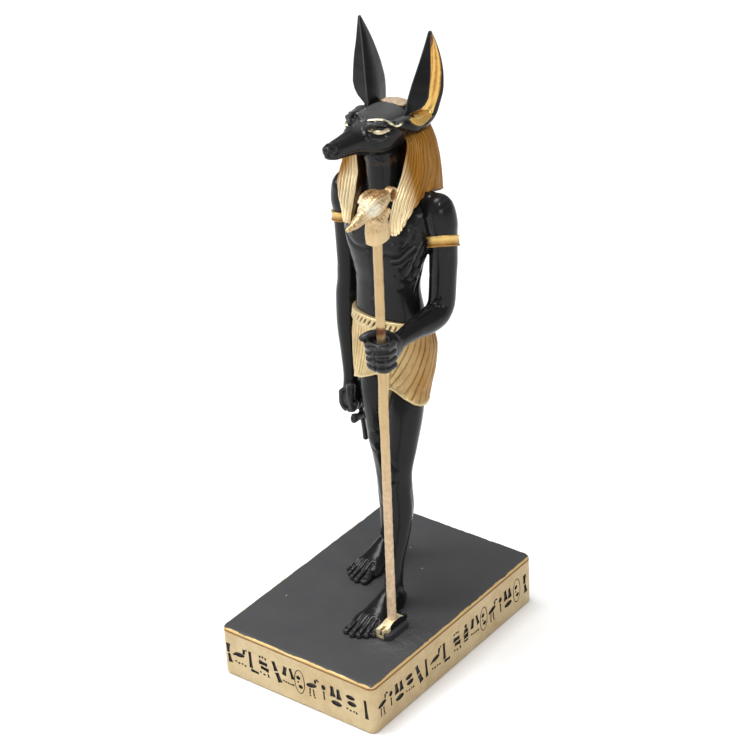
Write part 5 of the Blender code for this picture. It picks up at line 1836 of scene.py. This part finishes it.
# Strokes of each sign about its centre, between heights 6 and 16. Six numbers are a tapered bar:
# from, to and half width at both ends. Four or five are an oval: centre, half sizes and lean.
SIGNS = {
    "tall": ((-0.3, 15.6, -0.5, 11.2, 0.9, 0.45), (-0.2, 10.7, 0.5, 6.6, 0.5, 0.85)),
    "foot": ((-1.6, 15.8, -1.3, 8.0, 0.5, 0.6), (-1.5, 7.0, 2.4, 6.7, 0.55, 0.35)),
    "perch": ((-0.3, 12.0, 2.3, 0.9, 0.5), (1.9, 13.0, 2.3, 15.4, 0.35, 0.55),
        (2.9, 15.7, 3.7, 15.3, 0.3, 0.15), (-3.8, 11.0, -2.6, 11.4, 0.18, 0.35), (-2.4, 8.2, 0.35, 0.3),
        (-0.8, 7.8, 0.45, 0.3), (0.9, 8.0, 0.35, 0.3), (2.4, 7.7, 0.4, 0.3)),
    "pile": ((-1.6, 15.4, 0.35, 0.45), (-0.2, 15.6, 0.35, 0.45), (1.2, 15.2, 0.35, 0.45),
        (-2.2, 12.9, 2.0, 12.5, 0.8, 0.6), (-1.4, 10.6, 2.6, 10.0, 0.6, 0.75), (-1.6, 8.0, 0.35, 0.3),
        (0.2, 7.4, 0.5, 0.28), (2.0, 8.4, 2.5, 6.8, 0.2, 0.3)),
    "slant": ((-1.7, 15.9, -0.3, 11.6, 0.6, 0.75), (-0.1, 11.0, 1.5, 6.8, 0.75, 0.9)),
    "pair": ((-1.2, 15.6, -1.9, 11.2, 0.65, 0.8), (1.2, 15.8, 2.6, 11.0, 0.45, 0.6),
        (-2.3, 8.6, 0.35, 0.28), (-1.6, 8.2, -0.7, 8.5, 0.2, 0.2), (-0.3, 8.5, 0.5, 8.0, 0.2, 0.2),
        (0.9, 8.0, 1.7, 8.4, 0.2, 0.2), (2.4, 8.2, 0.4, 0.35)),
    "ring": ((-0.5, 13.0, 0.85, 0.75), (0.5, 9.0, 0.9, 0.7), (-0.7, 10.9, 0.3, 0.3)),
    "wader": ((-0.6, 12.0, 2.0, 1.05, 0.9), (1.3, 13.6, 1.5, 15.4, 0.28, 0.4),
        (1.9, 15.8, 3.2, 15.0, 0.3, 0.16), (-1.4, 10.4, -1.6, 7.4, 0.18, 0.18),
        (0.2, 10.4, 0.5, 7.2, 0.18, 0.18), (-1.9, 6.8, -1.0, 6.8, 0.16, 0.16),
        (0.3, 6.6, 1.3, 6.6, 0.16, 0.16)),
    "drop": ((0.0, 13.4, 0.85, 1.0), (0.0, 11.6, 0.2, 7.6, 0.22, 0.18)),
    "wedge": ((-1.7, 15.8, -1.2, 10.9, 0.55, 1.05), (1.3, 15.4, 1.8, 10.6, 0.45, 1.0),
        (0.4, 8.3, 2.3, 1.0)),
    "twin": ((-0.2, 14.0, 1.9, 0.85), (0.4, 11.2, 1.9, 0.95), (-2.4, 8.4, -1.7, 8.0, 0.2, 0.3),
        (-0.4, 7.8, 0.4, 0.28), (0.9, 7.5, 1.5, 8.2, 0.2, 0.2), (2.5, 7.6, 0.35, 0.4)),
    "post": ((-0.3, 15.6, 0.3, 6.9, 0.4, 0.6),),
    "jar": ((0.0, 15.0, 0.7, 0.7), (0.0, 13.9, 0.1, 11.8, 0.8, 1.4), (0.1, 11.4, 0.1, 9.2, 1.5, 1.1),
        (-1.3, 8.2, 1.5, 8.1, 0.3, 0.3)),
}
RING = (11.0, 2.3, 5.0, 0.38)


def strokes(kind, x):
    """Outlines of one sign about a centre x."""
    out = []
    for part in SIGNS[kind]:
        if len(part) == 6:
            x0, z0, x1, z1, w0, w1 = part
            out.append(bar(x + x0, z0, x + x1, z1, w0, w1))
        else:
            out.append(lens(x + part[0], *part[1:]))
    return out


def plinth_block():
    """Block with eased edges, a fine line under the rim and a slightly uneven rim."""
    rings = []
    for z, inset in ((0.0, 0.9), (0.25, 0.3), (0.9, 0.0), (21.0, 0.0), (21.15, 0.16), (21.35, 0.16),
                     (21.5, 0.0), (21.95, 0.12), (22.3, 0.45), (22.5, 0.95), (22.5, 1.8), (22.5, 3.0)):
        hx = PLINTH_W / 2 - inset
        hy = PLINTH_L / 2 - inset
        r = 3.0 - inset * 0.6
        ring = []
        for cx, cy, a0, there in ((1, 1, 0, (-hx + r, hy)), (-1, 1, 90, (-hx, -hy + r)),
                                  (-1, -1, 180, (hx - r, -hy)), (1, -1, 270, (hx, hy - r))):
            for k in range(9):
                a = math.radians(a0 + 90 * k / 8)
                ring.append((cx * (hx - r) + r * math.cos(a), cy * (hy - r) + r * math.sin(a), z))
            here = ring[-1]
            # points along the straight side, for the uneven rim
            for k in range(1, 40):
                x, y = [a + (b - a) * k / 40 for a, b in zip(here, there)]
                ring.append((x, y, z))
        on_rim = z > 21.9 and inset < 1.0
        if on_rim or z < 0.5:
            ring = np.array(ring)
            rough = smooth_noise(ring * (1, 1, 0), 4.5, 61) + 0.5 * smooth_noise(ring * (1, 1, 0), 1.8, 62)
            ring[:, :2] *= (1 - (0.004 * np.abs(rough)))[:, None]
            if on_rim:
                ring[:, 2] -= 0.10 * np.abs(rough)
        rings.append(ring)
    return skin(rings, "plinth_dressed")


FRONT = (("tall", -34.3), ("perch", -28.6), ("foot", -21.8), ("pile", -16.6), ("slant", -9.8), ("pair", -4.2),
         ("ring", 1.6), ("wader", 8.2), ("drop", 13.6), ("wedge", 19.4), ("twin", 27.0), ("post", 34.2))
FLANK = (("wader", -48.6), ("drop", -43.6), ("wedge", -38.4), ("twin", -31.4), ("slant", -25.0),
         ("post", -20.2), ("perch", -13.6), ("foot", -6.6), ("pile", 0.6), ("jar", 7.0), ("pair", 13.2),
         ("ring", 19.6),
         ("wader", 26.2), ("drop", 31.6), ("wedge", 36.8), ("ring", 43.6), ("tall", 49.8))
STROKE_DEPTH = 0.55
STROKE_OUT = 0.6


def engraving():
    """One mesh with a prism for each stroke, through all four walls of the plinth."""
    hx = PLINTH_W / 2
    hy = PLINTH_L / 2
    bm = bmesh.new()

    def prism(place, *outlines):
        levels = [[bm.verts.new(Vector(place(x, z, d)) * MM) for x, z in line]
                  for line in outlines for d in (STROKE_OUT, -STROKE_DEPTH)]
        n = len(levels[0])
        if len(outlines) == 1:
            bm.faces.new(levels[0])
            bm.faces.new(levels[1][::-1])
            pairs = ((0, 1),)
        else:
            pairs = ((2, 0), (1, 3), (0, 1), (3, 2))
        for i in range(n):
            j = (i + 1) % n
            for a, b in pairs:
                bm.faces.new((levels[a][j], levels[a][i], levels[b][i], levels[b][j]))

    for signs, turn, place in (
            (FRONT, 1, lambda x, z, d: (x, -hy - d, z)),
            (FLANK, 1, lambda x, z, d: (hx + d, x, z)),
            (FRONT[::-1], -1, lambda x, z, d: (-x, hy + d, z)),
            (FLANK[::-1], -1, lambda x, z, d: (-hx - d, -x, z))):
        for kind, x in signs:
            if kind == "ring":
                z, w, h, t = RING
                prism(place, lens(turn * x, z, w, h, 0.0, 28), lens(turn * x, z, w - t, h - t, 0.0, 28))
            for outline in strokes(kind, turn * x):
                prism(place, [(a, b - 0.2) for a, b in outline])
    bmesh.ops.recalc_face_normals(bm, faces=bm.faces)
    mesh = bpy.data.meshes.new("strokes")
    bm.to_mesh(mesh)
    bm.free()
    return link("strokes", mesh)


def staff_pad():
    pad = block("pad", (19.3, 25.4), (-27.2, -13.4), (21.5, 25.2))
    bm = bmesh.new()
    bm.from_mesh(pad.data)
    upright = [e for e in bm.edges if abs(e.verts[0].co.z - e.verts[1].co.z) > 0.5 * MM]
    bmesh.ops.bevel(bm, geom=upright, offset=1.6 * MM, segments=5, affect="EDGES", profile=0.5)
    tops = [e for e in bm.edges if min(v.co.z for v in e.verts) > 25.1 * MM]
    bmesh.ops.bevel(bm, geom=tops, offset=0.35 * MM, segments=2, affect="EDGES", profile=0.5)
    bm.to_mesh(pad.data)
    bm.free()
    return pad


def make_plinth(side_mat, ink, pad_mat):
    obj = plinth_block()
    boolean(obj, engraving(), solver="EXACT", crossing=True)
    boolean(obj, staff_pad(), "UNION", "EXACT")
    obj.name = "plinth_dressed"
    finished(obj, [side_mat, ink, pad_mat], 32)
    # faces sunk into the band take the ink, and faces above the top belong to the pad
    corner = 3.0
    for poly in obj.data.polygons:
        c = poly.center / MM
        ox = abs(c.x) - (PLINTH_W / 2 - corner)
        oy = abs(c.y) - (PLINTH_L / 2 - corner)
        sunk = corner - (math.hypot(ox, oy) if ox > 0 and oy > 0 else max(ox, oy))
        poly.material_index = 1 if 4.0 < c.z < 19.5 and 0.12 < sunk < 1.2 else 0
        if c.z > 22.6:
            poly.material_index = 2
    return obj


def plinth_material():
    """Pale gold sides with a darker rim line and a painted highlight of brighter gold on the top bevel, and a
    matt black top with specks and faint ripples.
    """
    net = Net("plinth_paint")
    x, y, z = net.axes()
    fine = net.noise(1400.0, 4.0, 0.65)
    mid = net.noise(240.0, 4.0, 0.6)
    broad = net.noise(28.0, 3.0, 0.5)
    patchy = net.add(net.mul(broad, 0.7), net.mul(mid, 0.4))
    gold = net.mix(net.ramp(patchy, 0.35, 0.80), (0.62, 0.50, 0.30), (0.47, 0.34, 0.17))
    gold = net.mix(net.ramp(fine, 0.56, 0.72, 0.0, 0.35), gold, (0.42, 0.27, 0.11))
    line = net.calc("ABSOLUTE", net.sub(z, 0.0211))
    line = net.add(line, net.mul(net.sub(mid, 0.5), 0.0006))
    gold = net.mix(net.ramp(line, 0.00060, 0.00015, 0.0, 0.9), gold, (0.24, 0.10, 0.022))
    # painted highlight: brighter gold along the top bevel
    rim = net.ramp(z, 0.0215, 0.0219)
    gold = net.mix(net.mul(rim, 0.7), gold, (0.86, 0.56, 0.20))
    dx = net.sub(PLINTH_W / 2 * MM, net.calc("ABSOLUTE", x))
    dy = net.sub(PLINTH_L / 2 * MM, net.calc("ABSOLUTE", y))
    from_edge = net.calc("MINIMUM", dx, dy)
    wave = net.mul(net.sub(net.noise(160.0, 3.0, 0.6), 0.5), 0.0012)
    on_top = net.mul(net.ramp(net.add(from_edge, wave), 0.00050, 0.00075),
                      net.calc("GREATER_THAN", z, 0.0220))
    top = net.mix(net.noise(45.0, 4.0, 0.6), (0.031, 0.032, 0.034), (0.052, 0.052, 0.054))
    top = net.mix(net.ramp(fine, 0.60, 0.80, 0.0, 0.3), top, (0.10, 0.10, 0.10))
    speck = net.ramp(net.cells(120.0), 0.050, 0.030)
    speck = net.mul(speck, net.ramp(net.noise(60.0, 2.0, 0.5), 0.52, 0.56))
    top = net.mix(speck, top, (0.45, 0.44, 0.42))
    net.set("Base Color", net.mix(on_top, gold, top))
    net.set("Metallic", net.blend(on_top, 0.55, 0.0))
    net.set("Roughness", net.blend(on_top, net.blend(mid, 0.42, 0.56), net.blend(mid, 0.48, 0.62)))
    height = net.add(net.mul(fine, 0.35), mid)
    # ripples in the paint round the pad
    aside = net.calc("POWER", net.calc("ABSOLUTE", net.sub(x, 0.0235)), 2.0)
    ahead = net.calc("POWER", net.calc("ABSOLUTE", net.add(y, 0.0200)), 2.0)
    away = net.calc("SQRT", net.add(aside, ahead))
    near = net.mul(net.ramp(away, 0.019, 0.006), net.noise(170.0, 3.0, 0.6))
    soft = net.bump(near, 0.55, 0.003, net.bump(broad, 0.30, 0.005))
    net.set("Normal", net.bump(height, 0.16, 0.0005, soft))
    return net.mat


def ink_material():
    net = Net("ink")
    fine = net.noise(900.0, 3.0, 0.6)
    wear_and_sheen = net.ramp(fine, 0.62, 0.75)
    net.set("Base Color", net.mix(wear_and_sheen, (0.014, 0.012, 0.011), (0.16, 0.09, 0.035)))
    net.set("Roughness", net.blend(fine, 0.45, 0.65))
    net.set("Normal", net.bump(fine, 0.3, 0.0003))
    return net.mat


def make_stage():
    mesh = bpy.data.meshes.new("floor")
    mesh.from_pydata([(-4, -4, 0), (4, -4, 0), (4, 4, 0), (-4, 4, 0)], [], [(0, 1, 2, 3)])
    floor = link("floor", mesh)
    net = Net("floor_white")
    soft = net.noise(6.0, 3.0, 0.5)
    net.set("Base Color", net.mix(soft, (0.90, 0.90, 0.90), (0.93, 0.93, 0.93)))
    net.set("Roughness", 0.9)
    net.set("Normal", net.bump(net.noise(300.0), 0.02, 0.001))
    mesh.materials.append(net.mat)


def make_lights():
    world = bpy.data.worlds.new("studio")
    bpy.context.scene.world = world
    world.use_nodes = True
    back = world.node_tree.nodes["Background"]
    back.inputs["Color"].default_value = (1.0, 1.0, 1.0, 1.0)
    back.inputs["Strength"].default_value = 0.30
    aim = Vector((0.0, 0.0, 0.12))
    # place, size, watts
    for name, place, size, watts in (
            ("key", (-0.95, -0.60, 0.80), 0.50, 6.0),
            ("fill", (1.0, -0.6, 0.45), 0.40, 2.7),
            ("top", (-0.10, 0.0, 1.30), 0.70, 4.0),
            ("spark", (0.45, -0.35, 1.15), 0.07, 3.4)):
        data = bpy.data.lights.new(name, "AREA")
        data.size = size
        data.energy = watts
        lamp = bpy.data.objects.new(name, data)
        bpy.context.collection.objects.link(lamp)
        lamp.location = place
        lamp.rotation_euler = (aim - Vector(place)).to_track_quat("-Z", "Y").to_euler()
    data = bpy.data.lights.new("sky", "SUN")
    data.energy = 1.9
    data.angle = math.radians(28)
    lamp = bpy.data.objects.new("sky", data)
    bpy.context.collection.objects.link(lamp)
    lamp.rotation_euler = Vector((0.22, 0.10, -1.0)).to_track_quat("-Z", "Y").to_euler()
    bpy.context.scene.view_settings.view_transform = "Standard"


# Assembly

make_stage()
make_lights()

# paint: pale, mid and deep colour, warmth and level
black = black_material()
head_black = black_material("black_and_cream", (
    (0.88, 0.78, 0.54), (0.50, 0.40, 0.24), (0.20, 0.10, 0.04), 0.6, 0.88))
ear_black = black_material("black_and_amber", (
    (1.0, 0.66, 0.21), (0.70, 0.36, 0.08), (0.14, 0.045, 0.010), 0.5, 0.95))
wig_gold = gold_material("wig_gold", (
    (1.0, 0.84, 0.53), (0.70, 0.45, 0.18), (0.13, 0.05, 0.014), 0.5, 1.04), shine=0.05)
kilt_gold = gold_material("kilt_gold", (
    (0.95, 0.76, 0.41), (0.64, 0.42, 0.15), (0.20, 0.09, 0.025), 0.55, 0.72), 0.35)
band_gold = gold_material("band_gold", (
    (1.0, 0.70, 0.25), (0.80, 0.44, 0.10), (0.28, 0.11, 0.02), 0.5, 0.78), 0.2)
staff_gold = gold_material("staff_gold", (
    (0.84, 0.62, 0.34), (0.56, 0.31, 0.13), (0.18, 0.06, 0.02), 0.6, 0.76), 0.7, (0.92, 0.86, 0.68))
rod_gold = gold_material("rod_gold", (
    (0.78, 0.56, 0.29), (0.58, 0.35, 0.15), (0.18, 0.06, 0.02), 0.5, 0.70), 0.6, (0.80, 0.60, 0.41))

body = [make_upper(black), make_lower(black), make_head(head_black, ear_black)]
body += [make_ear(side, ear_black) for side in (1, -1)]
dress = [make_wig(wig_gold), make_kilt(kilt_gold), make_belt(kilt_gold), make_tab(kilt_gold)]
dress += [make_armlet(side, band_gold) for side in (1, -1)]
staff = [make_sceptre_head(staff_gold), make_rod(rod_gold), make_sceptre_foot(wig_gold, black)]
plinth = make_plinth(plinth_material(), ink_material(), black)

for pieces, node in ((body + dress, "figure"), (staff, "sceptre"), ([plinth], "plinth")):
    for piece in pieces:
        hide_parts(node)
        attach(piece, "root")
